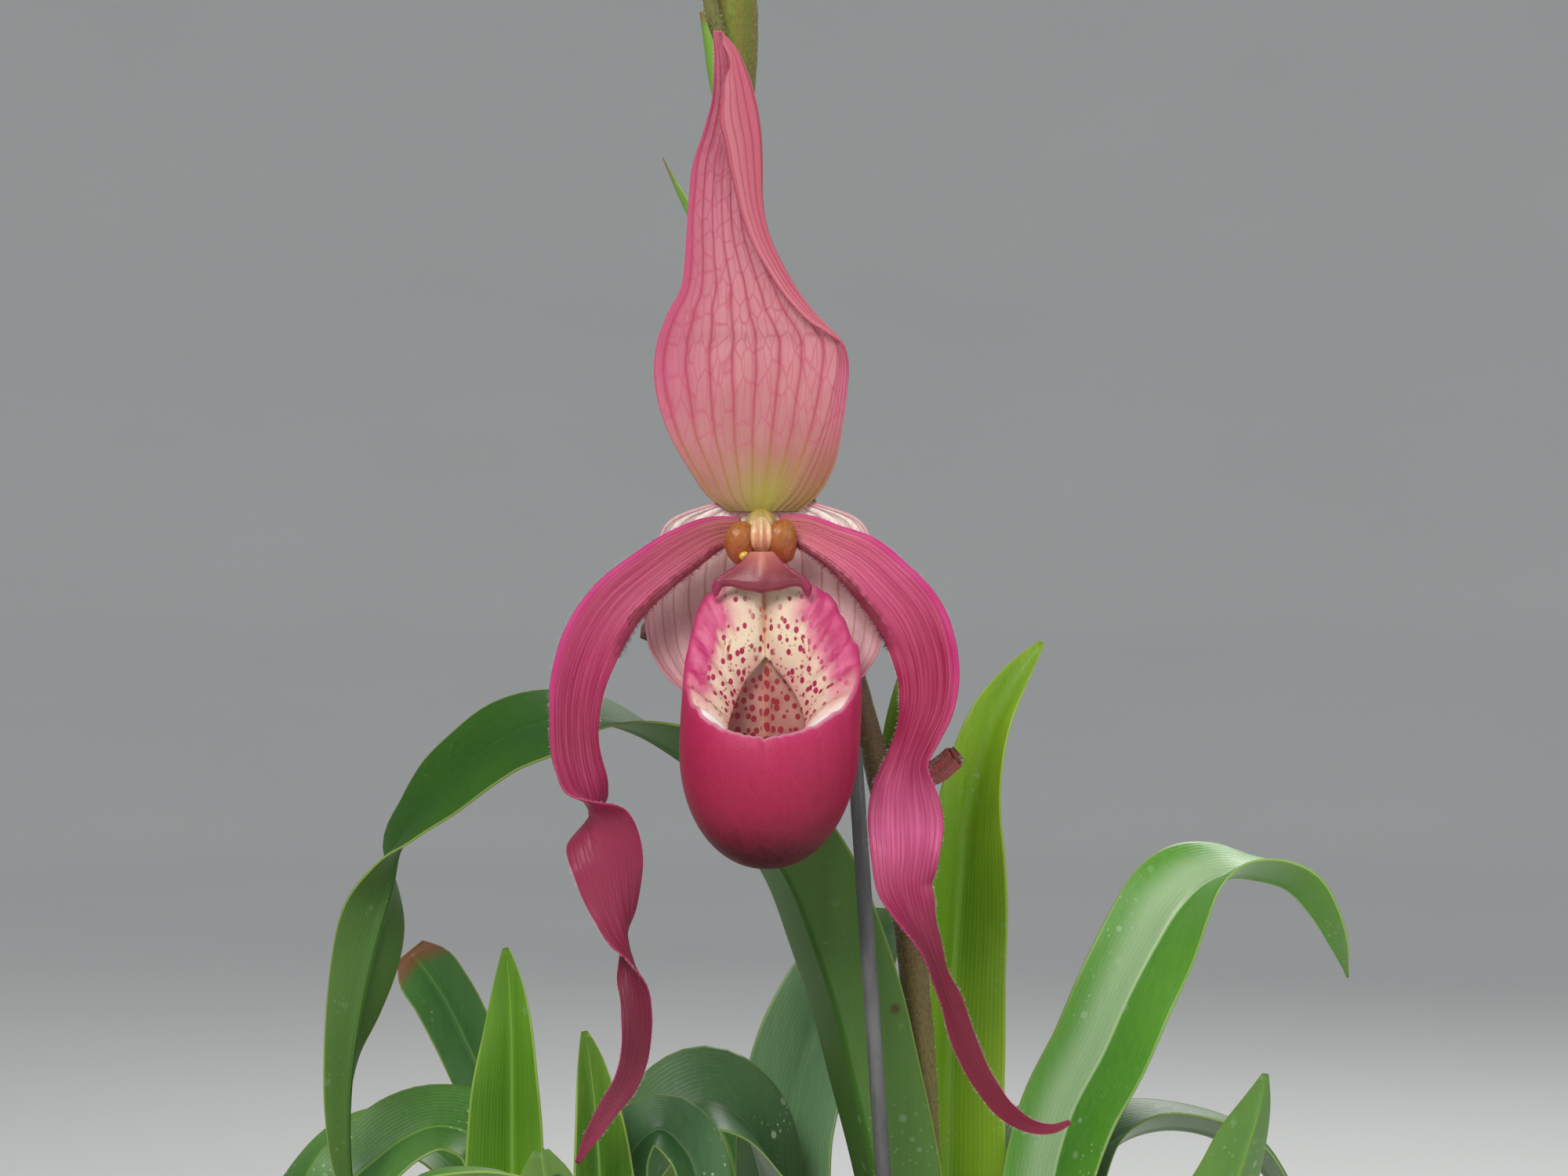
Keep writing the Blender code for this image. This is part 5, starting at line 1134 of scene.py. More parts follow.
# toe: its own deep crimson, darkened towards the foot by painted shade; the lit mask lays painted light on
# its upper part
toe = board.ramp(
    wall_share, ((0, (186, 44, 100)), (0.05, (170, 30, 78)), (0.36, (144, 15, 54)), (0.56, (112, 8, 38)),
    (0.74, (70, 4, 20)), (1, (50, 3, 14))))
toe_net = board.net(place, (420, 420, 190))
toe = board.tint(toe, board.step(toe_net, 0.16, 0), 0.08, (190, 50, 92))
lit = board.times(board.step(wall_share, 0.75, 0.35), 0.3)
toe = board.layers(toe, (cloud, lit, (172, 30, 74)), (board.step(grain, 0.5, 0.75), 0.3, (88, 6, 34)))
# collar
cream = board.mix(cloud, (224, 204, 176), (216, 180, 162))
white_front = board.step(from_top, 0.3, 0.36)
cream = board.tint(cream, white_front, 0.9, (252, 240, 240))
spots = dots(board, board.stretched(place, (1.15, 1, 0.8)), 640, 0.37, 0.06)
small = dots(board, place, 1000, 0.3, 0.1)
inward = board.line(flames, 0.5, collar_share)
belt = board.times(board.step(inward, 1.22, 0.92), board.step(from_top, 0.03, 0.08))
belt = board.times(belt, board.step(from_top, 0.33, 0.27))
centre_spots = board.times(board.step(inward, 0.85, 0.55), board.step(from_top, 0.12, 0.03))
spots = board.times(spots, board.most(belt, centre_spots))
small = board.times(small, board.times(board.step(inward, 0.75, 0.4), 0.8))
dusk = board.times(board.step(collar_share, 0.22, 0), board.step(from_top, 0.02, 0.06))
cream = board.tint(cream, dusk, 0.75, (206, 146, 138))
lip = board.mix(board.most(spots, board.times(small, belt)), cream, (158, 20, 66))
rose = board.mix(board.step(flames, 0.35, 0.7), (178, 44, 98), (206, 92, 132))
side = board.times(board.step(from_top, 0.07, 0.12), board.step(from_top, 0.34, 0.24))
rose_share = board.times(board.step(inward, 0.62, 0.9), side)
lip = board.mix(rose_share, lip, rose)
edge = board.times(board.step(collar_share, 0.9, 1), board.step(from_top, 0.02, 0.08))
lip = board.layers(
    lip, (edge, 0.8, (180, 40, 100)), (board.step(from_top, 0.01, 0.002), 0.6, (196, 96, 72)))
# inside: cream set lighter than the tissue, painted light for the glow through the wall
inside = board.mix(cloud, (240, 196, 178), (226, 166, 156))
back_spots = dots(board, place, 330, 0.27, 0.08)
inside = board.tint(inside, back_spots, 0.85, (158, 22, 62))
outer = board.mix(board.step(wall_share, -0.004, 0.01), lip, toe)
skin = board.mix(reverse, outer, inside)
board.join(skin, board.shader.inputs["Base Color"])
velvet = board.line(board.step(wall_share, 0, 0.02), 0.1, 0.38)
board.join(board.line(grain, 0.18, velvet), board.shader.inputs["Roughness"])
relief_height = board.line(flames, 0.5, board.times(grain, 0.7))
board.relief(relief_height, 0.16, 0.6)
pouch = add_shell("living_pouch", middle, 0.85, finish, "pouch", wrap=True, lift=swelling)
print("pouch faces:", len(pouch.data.polygons))

# %% [markdown]
# ## Back wall of the throat
# Between the two side lobes the back of the bag shows: dusty pink, with crimson spots in
# loose rows and a warm line down the middle. It is a shallow trough that starts behind the
# collar's free edge and runs down behind the front rim.

# %% Throat wall
THROAT_X = 1.2
u = sideways(49)
v = downwards(70)
x = THROAT_X + u * (7.5 + 4 * v)
y = -5.6 + 1.4 * v - 5.5 * abs(u) ** 2.5 - 0.35 * bell(u, 0.07)
z = np.broadcast_to(-20 - 27 * v, x.shape)
grid = stacked(x, y, z)[::-1] + BLOOM
finish, board, across, along, reverse, place, cloud, grain = living_finish(
    "throat_wall", 160, flesh=0.15, Specular_IOR_Level=0.35)
middle = board.apart(across, 0.5)
skin = board.mix(cloud, (206, 150, 138), (182, 112, 108))
# The top of the wall is painted lighter: painted light against the shade under the collar's free edge.
upper = board.step(along, 0.62, 1)
skin = board.layers(
    skin, (upper, 0.85, (246, 214, 190)), (board.step(middle, 0.03, 0), 0.45, (206, 128, 72)))
flat_place = board.stretched(place, (1, 0.25, 0.85))
spots = dots(board, flat_place, 640, 0.4, 0.06)
beads = board.less(
    board.sums("FRACT", board.line(board.noise(place, 300, 1), 1.5, board.times(along, 10))), 0.5)
beads = board.point(board.times(middle, 12), beads)
beads = board.add("VectorMath", {0: beads}, operation="LENGTH").outputs["Value"]
spots = board.most(board.times(spots, board.step(middle, 0.03, 0.05)), board.step(beads, 0.36, 0.26))
skin = board.tint(skin, spots, 0.9, (166, 22, 52))
board.paint(skin, board.line(grain, 0.2, 0.4))
board.relief(grain, 0.12, 0.5)
throat = add_shell("throat_wall", grid, 0.6, finish)
print("throat wall faces:", len(throat.data.polygons))

# %% [markdown]
# ## Column and its shield
# In the centre stand the fused stamens: a cream column with three ridges, an orange anther on
# each side and, in front, a pink shield with a maroon rim whose two tips curl down. The
# column and anthers are round bodies with waves on their radius, and the shield is a thin
# shell.

# %% Column, anthers and pollen
COLUMN_CENTRE = (0.2, -3, -0.6)
COLUMN_RADII = (2.7, 6.2, 3.9)
ANTHER_LEFT = (-3.7, -5.4, -2.8)
ANTHER_RIGHT = (4.1, -5.4, -2.4)
ANTHER_RADII = (2.9, 2.6, 3.2)
SHIELD_X = 0.3
SHIELD_BEND = 1.6


def round_body(name, centre, radii, across, down, relief_of, finish, node=None):
    """Ellipsoid from the north pole down, its radius scaled by a function of turn and fall."""
    turns = ring_turns(across)
    falls = np.linspace(math.pi, 0, down)[:, None]
    scale = relief_of(turns, falls)
    flat = np.sin(falls) * scale
    grid = stacked(flat * np.cos(turns) * radii[0], flat * np.sin(turns) * radii[1],
                   np.cos(falls) * scale * radii[2]) + np.array(centre) + BLOOM
    squares, places = grid_squares(down, across, wrap=True)
    return add_piece(
        name, grid.reshape(-1, 3), squares, places, finish, node, np.zeros(grid.size // 3),
        welded=True)


def waxy_finish(name, low_tone, high_tone, fleck_tone, low, high, fleck_share, coat=0.35):
    """Moist tissue: one tone at a lower height and one at a higher, with soft flecks."""
    finish, board = new_finish(name, Coat_Weight=coat, Coat_Roughness=0.18, flesh=0.12)
    place = board.place()
    height = board.part(place, "Z")
    cloud, grain = living(board, place, 260)
    skin = board.mix(board.step(height, low * MM, high * MM), low_tone, high_tone)
    flecks = board.times(board.step(board.noise(place, 1400, 3), 0.5, 0.62), fleck_share)
    skin = board.mix(flecks, skin, fleck_tone)
    skin = board.tint(skin, cloud, 0.25, high_tone)
    board.paint(skin, board.line(grain, 0.2, 0.26))
    board.relief(grain, 0.12, 0.5)
    return finish, board, skin, place


def column_relief(turns, falls):
    """Three upright ridges on the front of the column."""
    front = bell(turns - 1.5 * math.pi, 0.9) * np.sin(falls) ** 2
    return 1 + 0.12 * front * np.cos((turns - 1.5 * math.pi) * 8.5)


def anther_relief(turns, falls):
    """Warty surface from three crossed waves, on a body that bulges unevenly."""
    warts = 0.03 * np.sin(9 * turns) * np.sin(11 * falls) + 0.02 * np.sin(13 * turns + 5 * falls)
    return 1 + np.sin(falls) * (warts + 0.09 * np.sin(2 * turns + 1) + 0.07 * np.sin(3 * falls + turns))


column_skin, board, skin, place = waxy_finish(
    "column_wax", (226, 150, 128), (226, 210, 160), (196, 110, 60), BLOOM[2] - 2.5, BLOOM[2] + 2.6, 0.3)
to_side = board.part(place, "X")
grooves = board.times(board.less(to_side, (BLOOM[0] + COLUMN_CENTRE[0]) * MM), 1000)
groove = board.sums("POWER", board.sums("ABSOLUTE", board.sums("SINE", board.times(grooves, 1.75))), 3)
board.join(board.tint(skin, groove, 0.55, (206, 112, 62)), board.shader.inputs["Base Color"])
anther_skin = waxy_finish(
    "anther_orange", (154, 62, 26), (164, 100, 40), (128, 48, 22), BLOOM[2] - 5, BLOOM[2] + 0.5, 0.5, 0)[0]
pollen_skin = waxy_finish(
    "pollen_yellow", (214, 178, 70), (226, 200, 96), (200, 160, 60), BLOOM[2] - 5, BLOOM[2] - 2, 0.3,
    0.5)[0]
round_body("living_column", COLUMN_CENTRE, COLUMN_RADII, 64, 40, column_relief, column_skin, "column")
for side, centre in (("left", ANTHER_LEFT), ("right", ANTHER_RIGHT)):
    round_body(
        f"anther_{side}", np.array(centre) + (0, 0, 0.8), np.array(ANTHER_RADII) * (0.95, 1, 1.3), 40, 30,
        anther_relief, anther_skin)
round_body(
    "pollen_mass", np.array(ANTHER_LEFT) + (0.7, -2.2, -1.7), (0.9, 0.8, 0.9), 24, 16, anther_relief,
    pollen_skin)
cap_skin = waxy_finish(
    "column_cap", (210, 176, 136), (166, 152, 66), (196, 132, 70), BLOOM[2] + 0.5, BLOOM[2] + 4.5, 0.3,
    0.2)[0]
round_body("column_cap", (0.1, -1.6, 0.2), (3.5, 4.4, 4.4), 48, 30, column_relief, cap_skin)
print("column pieces made")

# %% Shield in front of the column
SHIELD_LINES = [
    (0, -9.8, -3.9, 2.2, -3.9), (0.22, -10.6, -5.4, 3.6, -5.3), (0.42, -11.2, -6.9, 5.2, -6.6),
    (0.6, -11.7, -8.3, 6.9, -7.8), (0.78, -12, -9.5, 8.7, -8.8), (0.92, -11.8, -10.4, 9.2, -9.5),
    (1, -11.2, -10.8, 9.3, -10.1)]
v = downwards(52)
u = sideways(61)
lines = np.array(SHIELD_LINES)
depth, middle_height, half_width, side_height = (
    np.interp(v, lines[:, 0], lines[:, column]) for column in (1, 2, 3, 4))
x = SHIELD_X + u * half_width
y = depth + SHIELD_BEND * u**2 - 0.4 * bell(u, 0.2) * np.sin(math.pi * v)
y = y - 0.7 * clamp((abs(u) - 0.8) / 0.2) ** 2 * np.sin(math.pi * v)
z = middle_height + (side_height - middle_height) * abs(u) ** 1.6
z = z - 2 * v**6 * bell(abs(u) - 0.93, 0.07) + 0.6 * v**4 * bell(abs(u) - 0.62, 0.2)
z = z - 0.35 * v**6 * bell(u, 0.12) + 0.1 * np.sin(v * 40) * abs(u) ** 6
grid = stacked(x, y, z)[::-1] + BLOOM
finish, board, across, along, reverse, place, cloud, grain = living_finish(
    "shield_wax", 300, Coat_Weight=0.08, Coat_Roughness=0.35, Sheen_Weight=0.08, flesh=0.12)
outer = board.times(board.apart(across, 0.5), 2)
# Over the shield's own pink-mauve, the ramp darkens towards the lower edge as painted shade, and the salmon
# tint on the upper middle is a painted highlight.
skin = board.ramp(
    along, ((0, (146, 30, 70)), (0.05, (116, 24, 48)), (0.22, (112, 30, 44)), (0.5, (128, 50, 54)),
    (0.78, (164, 84, 76)), (1, (192, 126, 96))))
skin = board.layers(
    skin, (board.step(outer, 0.3, 0), board.step(along, 0.3, 0.9), (196, 128, 106)),
    (cloud, 0.25, (178, 80, 100)), (board.step(outer, 0.8, 0.97), 0.9, (150, 26, 80)))
board.paint(skin, board.line(grain, 0.2, 0.34))
board.relief(grain, 0.12, 0.5)
shield = add_shell("living_staminode", grid, 0.9 - 0.35 * u**4, finish, "staminode")
shield_tips = grid
print("shield faces:", len(shield.data.polygons))

# %% [markdown]
# ## Stems, ovaries and buds
# The scape is a downy tube that leans left as it climbs and turns purple-brown near the
# bloom. Ovaries are ribbed, and a bud is a ribbed spindle where its sepals meet. All are
# rings of points carried along smooth rows, with waves on the radius. A bevelled curve could
# be the tube, but it has no ribs.

# %% Stem rows and surface
SCAPE = [
    (29, 5, PIT_FLOOR + GAP, 3.4),
    (29.3, 4, 170, 3.2), (28.6, 3, 241, 3.1), (27, 3, 273, 3), (25.4, 3.5, 289, 2.9), (20, 4, 319, 2.7),
    (15.1, 4.5, 338, 2.5), (6.3, 5, 368, 2.3), (1, 5.5, 395, 2.1), (-3, 6, 418, 2), (-9.5, 6, 455, 1.7),
    (-15, 5.5, 479, 1.5), (-17.2, 5, 491, 1.4)]
OVARY = [
    (3.7, 2.2, 364.2, 1.9), (1.6, -3, 367, 2.2), (-1.6, -12, 369.6, 2.5), (-3.8, -22, 370.8, 2.5),
    (-4.4, -31, 370.6, 2.3)]
SPENT_OVARY_RIGHT = [
    (20.9, 0.2, 321, 1.2), (25.4, -2.4, 321.6, 2), (30.6, -3, 323.4, 2.3), (34.4, -4, 326.6, 2.2)]
SPENT_OVARY_LEFT = [
    (11, 3, 341.7, 1.4), (3, -2.4, 344, 2), (-9, -6, 346.6, 2.3), (-20, -8, 349.6, 2.3),
    (-28.4, -9, 352.2, 2)]
NEXT_BUD = [
    (-4, 9.6, 427, 1.5), (-6.8, 13, 440, 1.8), (-9, 14.4, 451, 2.4), (-10.2, 14.6, 462, 4.3),
    (-10.8, 14.6, 474, 5.5), (-11.2, 14.4, 486, 5.1), (-11.4, 13.8, 497, 3.1), (-11.5, 13.4, 502, 1.2)]
LAST_BUD = [
    (-17.35, 5, 491.4, 1.1), (-18.2, 4.8, 496, 1.9), (-19.2, 4.4, 501, 2.3), (-20.2, 4, 506, 1.6),
    (-20.8, 3.8, 509, 0.7)]


def stem_grid(rows, count, around, ribs=0, rib_depth=0, lumps=0, close=1.4):
    """Rings along smooth rows, their radius waved by ribs and lumps, rounded at both ends."""
    smooth = smooth_rows(rows, count)
    sides, fronts = carried_frame(
        smooth[:, :3], (0, -1, 0) if abs(rows[-1][2] - rows[0][2]) > 25 else (0, 0, 1), np.zeros(count))
    turns = ring_turns(around)
    reach = np.linalg.norm(np.gradient(smooth[:, :3], axis=0), axis=1).cumsum()[:, None]
    ends = np.minimum(reach - reach[0], reach[-1] - reach)
    cap = np.sqrt(1 - (1 - clamp(ends / close)) ** 2)
    radius = smooth[:, 3:4] * (1 + rib_depth * np.cos(ribs * turns))
    radius = radius * (1 + lumps * np.sin(reach * 0.9 + 2 * np.sin(turns)) * np.cos(reach * 0.37))
    radius = radius * np.maximum(cap, 0.02)
    points = (
        smooth[:, None, :3] + (radius * np.cos(turns))[..., None] * sides[:, None]
        + (radius * np.sin(turns))[..., None] * fronts[:, None])
    return points


def add_stem(name, grid, finish, node=None):
    """Closed tube from rings of points, with a cap of one face on each end."""
    rows, around = grid.shape[:2]
    squares, places = grid_squares(rows, around, wrap=True)
    ring = grid[rows // 2]
    normal = np.cross(ring[1] - ring[0], grid[rows // 2 + 1][0] - ring[0])
    if np.dot(normal, ring[0] - ring.mean(axis=0)) < 0:
        squares, places = squares[:, ::-1], places[:, ::-1]
    piece = add_piece(
        name, grid.reshape(-1, 3), squares, places, finish, node, np.zeros(rows * around))
    mesh = bmesh.new()
    mesh.from_mesh(piece.data)
    bmesh.ops.holes_fill(mesh, edges=[edge for edge in mesh.edges if edge.is_boundary], sides=0)
    bmesh.ops.recalc_face_normals(mesh, faces=mesh.faces[:])
    mesh.to_mesh(piece.data)
    mesh.free()
    piece.data.shade_smooth()
    return piece


def downy_finish(name, stops, low, high, fleck_tone, direction="Z", vein_tone=None):
    """Stem skin: tones along one axis of the object, short flecks and a soft nap."""
    finish, board = new_finish(
        name, Sheen_Weight=0.12, Sheen_Roughness=0.5, Sheen_Tint=tone(235, 232, 210),
        Specular_IOR_Level=0.35, flesh=0.05)
    across, along, reverse, place = blade_places(board)
    where = board.part(place, direction)
    share = board.add("MapRange", {"Value": where, "From Min": low * MM, "From Max": high * MM})
    skin = board.ramp(share.outputs["Result"], stops)
    cloud, grain = living(board, place, 120)
    flecks = board.streaks(place, (2600, 2600, 900), 3)
    skin = board.layers(skin, (board.step(flecks, 0.48, 0.62), 0.55, fleck_tone), (cloud, 0.3, stops[0][1]))
    if vein_tone:
        lines = veins(board, across, place, 9, 0.02, 4)
        skin = board.tint(skin, lines, 0.4, vein_tone)
    board.paint(skin, board.line(grain, 0.2, 0.52))
    board.relief(board.plus(grain, flecks), 0.16, 0.7)
    return finish


scape_skin = downy_finish(
    "scape_down", ((0, (112, 110, 52)), (0.35, (124, 112, 58)), (0.52, (112, 84, 58)), (0.62, (92, 58, 54)),
    (0.8, (100, 78, 54)), (1, (116, 122, 58))), 110, 491, (72, 50, 40))
ovary_skin = downy_finish(
    "ovary_down", ((0, (110, 60, 54)), (0.6, (118, 70, 62)), (1, (92, 56, 46))), -38, 6, (70, 34, 34), "Y",
    (88, 40, 42))
spent_skin = downy_finish(
    "spent_ovary_down", ((0, (122, 112, 104)), (0.3, (112, 88, 82)), (0.5, (160, 58, 60)),
    (1, (178, 48, 52))), 20, 35, (96, 60, 60), "X", (104, 64, 62))
old_skin = downy_finish(
    "old_ovary_down", ((0, (104, 58, 52)), (1, (120, 82, 66))), -30, 10, (74, 40, 38), "X", (86, 46, 44))
bud_skin = downy_finish(
    "bud_down", ((0, (96, 82, 40)), (0.3, (106, 116, 34)), (0.75, (118, 130, 36)), (1, (134, 112, 50))),
    427, 508, (104, 84, 50), "Z", (146, 104, 62))
# rows, rings, points round, ribs, their depth, lumps, and how far the ends are rounded
STEMS = {
    "scape": (scape_skin, SCAPE, 340, 28, 3, 0.02, 0.02),
    "ovary": (ovary_skin, OVARY, 90, 36, 6, 0.07, 0.01),
    "spent_ovary_right": (spent_skin, SPENT_OVARY_RIGHT, 70, 36, 6, 0.08, 0.03, 0.6),
    "spent_ovary_left": (old_skin, SPENT_OVARY_LEFT, 100, 36, 6, 0.08, 0.02, 0.6),
    "next_bud": (bud_skin, NEXT_BUD, 150, 48, 3, 0.045, 0.01),
    "last_bud": (bud_skin, LAST_BUD, 60, 36, 3, 0.05, 0.01),
}
stem_points = {}
for node, (finish, *shape) in STEMS.items():
    stem_points[node] = stem_grid(*shape)
    add_stem("living_" + node, stem_points[node], finish, node)
print("stems made:", len(stem_points))

# %% Scar on the spent ovary's end
def disc_cup(name, centre, axis, radius, depth, finish):
    """Shallow dark cup with a raised rim, its open side along the axis."""
    axis = unit(np.array(axis, dtype=float))
    side = unit(np.cross(axis, (0, 0, 1)))
    other = np.cross(axis, side)
    turns = ring_turns(40)
    reach = np.array((1.06, 1.08, 1, 0.86, 0.6, 0.3, 0.02))[:, None] * (1 + 0.05 * np.cos(6 * turns))
    rise = np.array((-0.5, 0.25, 0.45, 0.1, -0.1, -0.05, 0.15))[:, None] * depth + 0 * turns
    grid = (
        np.array(centre) + (radius * reach * np.cos(turns))[..., None] * side
        + (radius * reach * np.sin(turns))[..., None] * other + rise[..., None] * axis)
    return add_stem(name, grid, finish)


scar_skin = waxy_finish("scar_dark", (96, 26, 26), (120, 40, 34), (48, 16, 16), 320, 330, 0.6)[0]
end = np.array(SPENT_OVARY_RIGHT[-1][:3])
disc_cup(
    "spent_ovary_scar", end, end - np.array(SPENT_OVARY_RIGHT[-2][:3]), 1.9, 0.9, scar_skin)
print("scar made")

# %% [markdown]
# ## Bracts
# A green bract clasps the scape below each flower. It is a small folded leaf, so it is made
# the way the leaves are, on the scape's own line.

# %% Bracts
BRACT_FOLD_RADIUS = 1.6
BRACT_FOLD_BLEND = (40, 85)
BRACT_CLASP = 12
BRACTS = {
    "bract_lower": (309, 38, [
        (3.9, 0, 4.2, 88), (4.6, 8, 5.4, 74), (7.4, 20, 5.8, 60), (10.2, 33, 4.6, 52), (12.4, 43, 2.6, 44),
        (13.8, 50, 0.5, 36)]),
    "bract_middle": (342, 105, [
        (3.4, 0, 3.6, 88), (4.2, 5, 4.4, 74), (6, 11, 4, 60), (7.6, 17, 2.4, 50), (8.8, 22, 0.5, 40)]),
    "bract_upper": (398, 180, [
        (3, 0, 3.2, 88), (4.2, 8, 4, 72), (9, 20, 4.4, 56), (15.4, 33, 3.6, 48), (20, 42, 2, 42),
        (23, 49, 0.5, 36)]),
    "bract_top": (446, 215, [
        (2.7, 0, 2.6, 88), (3.4, 7, 3.2, 74), (5, 16, 3, 60), (6.6, 24, 1.8, 50), (7.8, 30, 0.5, 40)]),
}


def scape_at(height):
    """Place of the scape's middle at a height."""
    rows = smooth_rows(SCAPE, 200)
    return rows[np.argmin(abs(rows[:, 2] - height))][:3]


for number, (name, (height, azimuth, rows)) in enumerate(BRACTS.items()):
    heading = math.radians(azimuth)
    out = np.array((math.cos(heading), math.sin(heading)))
    keel_rows = []
    for distance, rise, half_width, fold in rows:
        x, y = scape_at(height + min(rise, BRACT_CLASP))[:2] + out * distance
        keel_rows.append((x, y, height + rise, half_width, 0, fold))
    grid, smooth = blade(
        keel_rows, (out[1], -out[0], 0), 64, 25,
        fold_radii(BRACT_FOLD_BLEND, (BRACT_FOLD_RADIUS, rows[0][0])))
    u = sideways(25)
    taper = np.clip(smooth[:, 3:4] / 3, 0.4, 1)
    finish, board, skin, place, along, centre, parts = leaf_finish(
        f"skin_{name}", (124, 172, 48), (74, 128, 28), (96, 140, 40), 0.2, 0, number + 30, 9)
    skin = board.mix(board.step(along, 0.86, 1), skin, (128, 110, 58))
    close_leaf(board, skin, parts, 0.42)
    add_shell("living_" + name, grid, (0.7 - 0.35 * abs(u) ** 3) * taper, finish, name)
print("bracts:", number + 1)

# %% [markdown]
# ## Stake
# A thin wire in a grey sleeve holds nothing any more but stands in front of the scape. The
# sleeve is mottled, a little scuffed and rounded at its top.

# %% Stake
STAKE_FOOT = np.array((28.6, -22, PIT_FLOOR + GAP))
STAKE_TOP = np.array((13.6, -22, 330))
STAKE_RADIUS = 1.5
rows = [
    tuple(STAKE_FOOT + (STAKE_TOP - STAKE_FOOT) * share)
    + (STAKE_RADIUS,) for share in np.linspace(0, 1, 12)]
grid = stem_grid(rows, 160, 24, 0, 0, 0.012, 1.2)
finish, board = new_finish("stake_sleeve", Coat_Weight=0.1)
across, along, reverse, place = blade_places(board)
clouds = board.streaks(place, (220, 220, 60), 4)
grain = board.noise(place, 1600, 4)
skin = board.mix(board.step(clouds, 0.35, 0.7), (78, 78, 80), (104, 104, 104))
scuffs = board.streaks(place, (1600, 1600, 70), 3)
skin = board.layers(
    skin, (board.step(scuffs, 0.58, 0.72), 0.6, (64, 56, 54)),
    (board.step(grain, 0.6, 0.75), 0.4, (130, 128, 128)))
board.paint(skin, board.line(grain, 0.3, 0.42))
board.relief(board.plus(grain, scuffs), 0.12, 0.6)
add_stem("grey_stake", grid, finish, "stake")
print("stake from", STAKE_FOOT, "to", STAKE_TOP)

# %% [markdown]
# ## Clay pot
# The pot is turned from its wall's profile, which has small throwing rings. Four drain holes
# pierce its floor away from the middle: the Boolean modifier cuts them, as a drill would, and
# the result is kept as plain mesh.

# %% Clay pot
POT_HEIGHT = 132
POT_FOOT_RADIUS = 54
POT_RIM_RADIUS = 78
POT_WALL = 4.5
POT_FLOOR = 6
RIM_BAND_HEIGHT = 20
RIM_BAND_STEP = 2.6
DRAIN_RADIUS = 5
DRAIN_CIRCLE = 30
DRAIN_COUNT = 4
BARK_TOP = 119


def rounded_profile(corners, step):
    """Points along the corners' lines, at most a step apart."""
    corners = np.array(corners, dtype=float)
    runs = []
    for first, last in zip(corners, corners[1:]):
        count = max(1, int(np.linalg.norm(last - first) / step))
        runs.append(first + (last - first) * np.linspace(0, 1, count, endpoint=False)[:, None])
    return np.concatenate(runs + [corners[-1:]])


foot, rim, top = POT_FOOT_RADIUS, POT_RIM_RADIUS, POT_HEIGHT
slope = (rim - foot) / top
band_foot = top - RIM_BAND_HEIGHT
band_wall = foot + slope * band_foot
inner_top = rim - POT_WALL - RIM_BAND_STEP
inner_foot = foot - POT_WALL
profile = rounded_profile([
    (0, 0), (foot - 3, 0), (foot - 1.2, 0), (foot, 0.5),
    (foot + 0.4, 1.5), (band_wall - 0.3, band_foot - 3), (band_wall, band_foot - 0.8),
    (rim - 2, band_foot), (rim - 1.2, band_foot + 0.5),
    (rim - 1, band_foot + 1.5), (rim, top - 1.5),
    (rim - 0.4, top - 0.5), (rim - 1.5, top),
    (inner_top + 1.2, top), (inner_top + 0.3, top - 0.4), (inner_top, top - 1.2),
    (inner_foot, POT_FLOOR), (0, POT_FLOOR)], 1.6)
rings = 0.14 * np.sin(profile[:, 1] * 1.3) + 0.08 * np.sin(profile[:, 1] * 2.9 + 1)
profile[:, 0] += rings * (profile[:, 0] > inner_foot) * clamp((POT_HEIGHT - profile[:, 1]) / 3) \
    * np.clip(profile[:, 1] / 4, 0, 1)
grid = turned(profile, 128)
squares, places = grid_squares(len(profile), 128, wrap=True)
finish, board = new_finish("terracotta")
place = board.place()
height = board.part(place, "Z")
clouds = board.noise(place, 26, 4)
grain = board.noise(place, 1500, 5)
sand = board.noise(place, 420, 3)
streaks = board.streaks(place, (60, 60, 9), 4)
skin = board.mix(board.step(clouds, 0.3, 0.7), (172, 98, 70), (190, 116, 84))
skin = board.layers(
    skin, (board.step(grain, 0.56, 0.7), 0.4, (214, 158, 128)),
    (board.step(sand, 0.6, 0.72), 0.35, (140, 76, 56)))
lime = board.times(board.step(streaks, 0.5, 0.7), board.step(height, 0.128, 0.02))
skin = board.tint(skin, lime, 0.45, (222, 200, 184))
damp = board.times(board.step(board.line(clouds, 0.03, height), 0.048, 0.018), 0.35)
skin = board.mix(damp, skin, (120, 70, 52))
board.paint(skin, board.line(grain, 0.15, 0.76))
clay = board.line(sand, 0.8, grain)
board.relief(clay, 0.35, 0.6)
pot = add_piece("clay_pot", grid.reshape(-1, 3), squares, places, finish, "pot", welded=True)
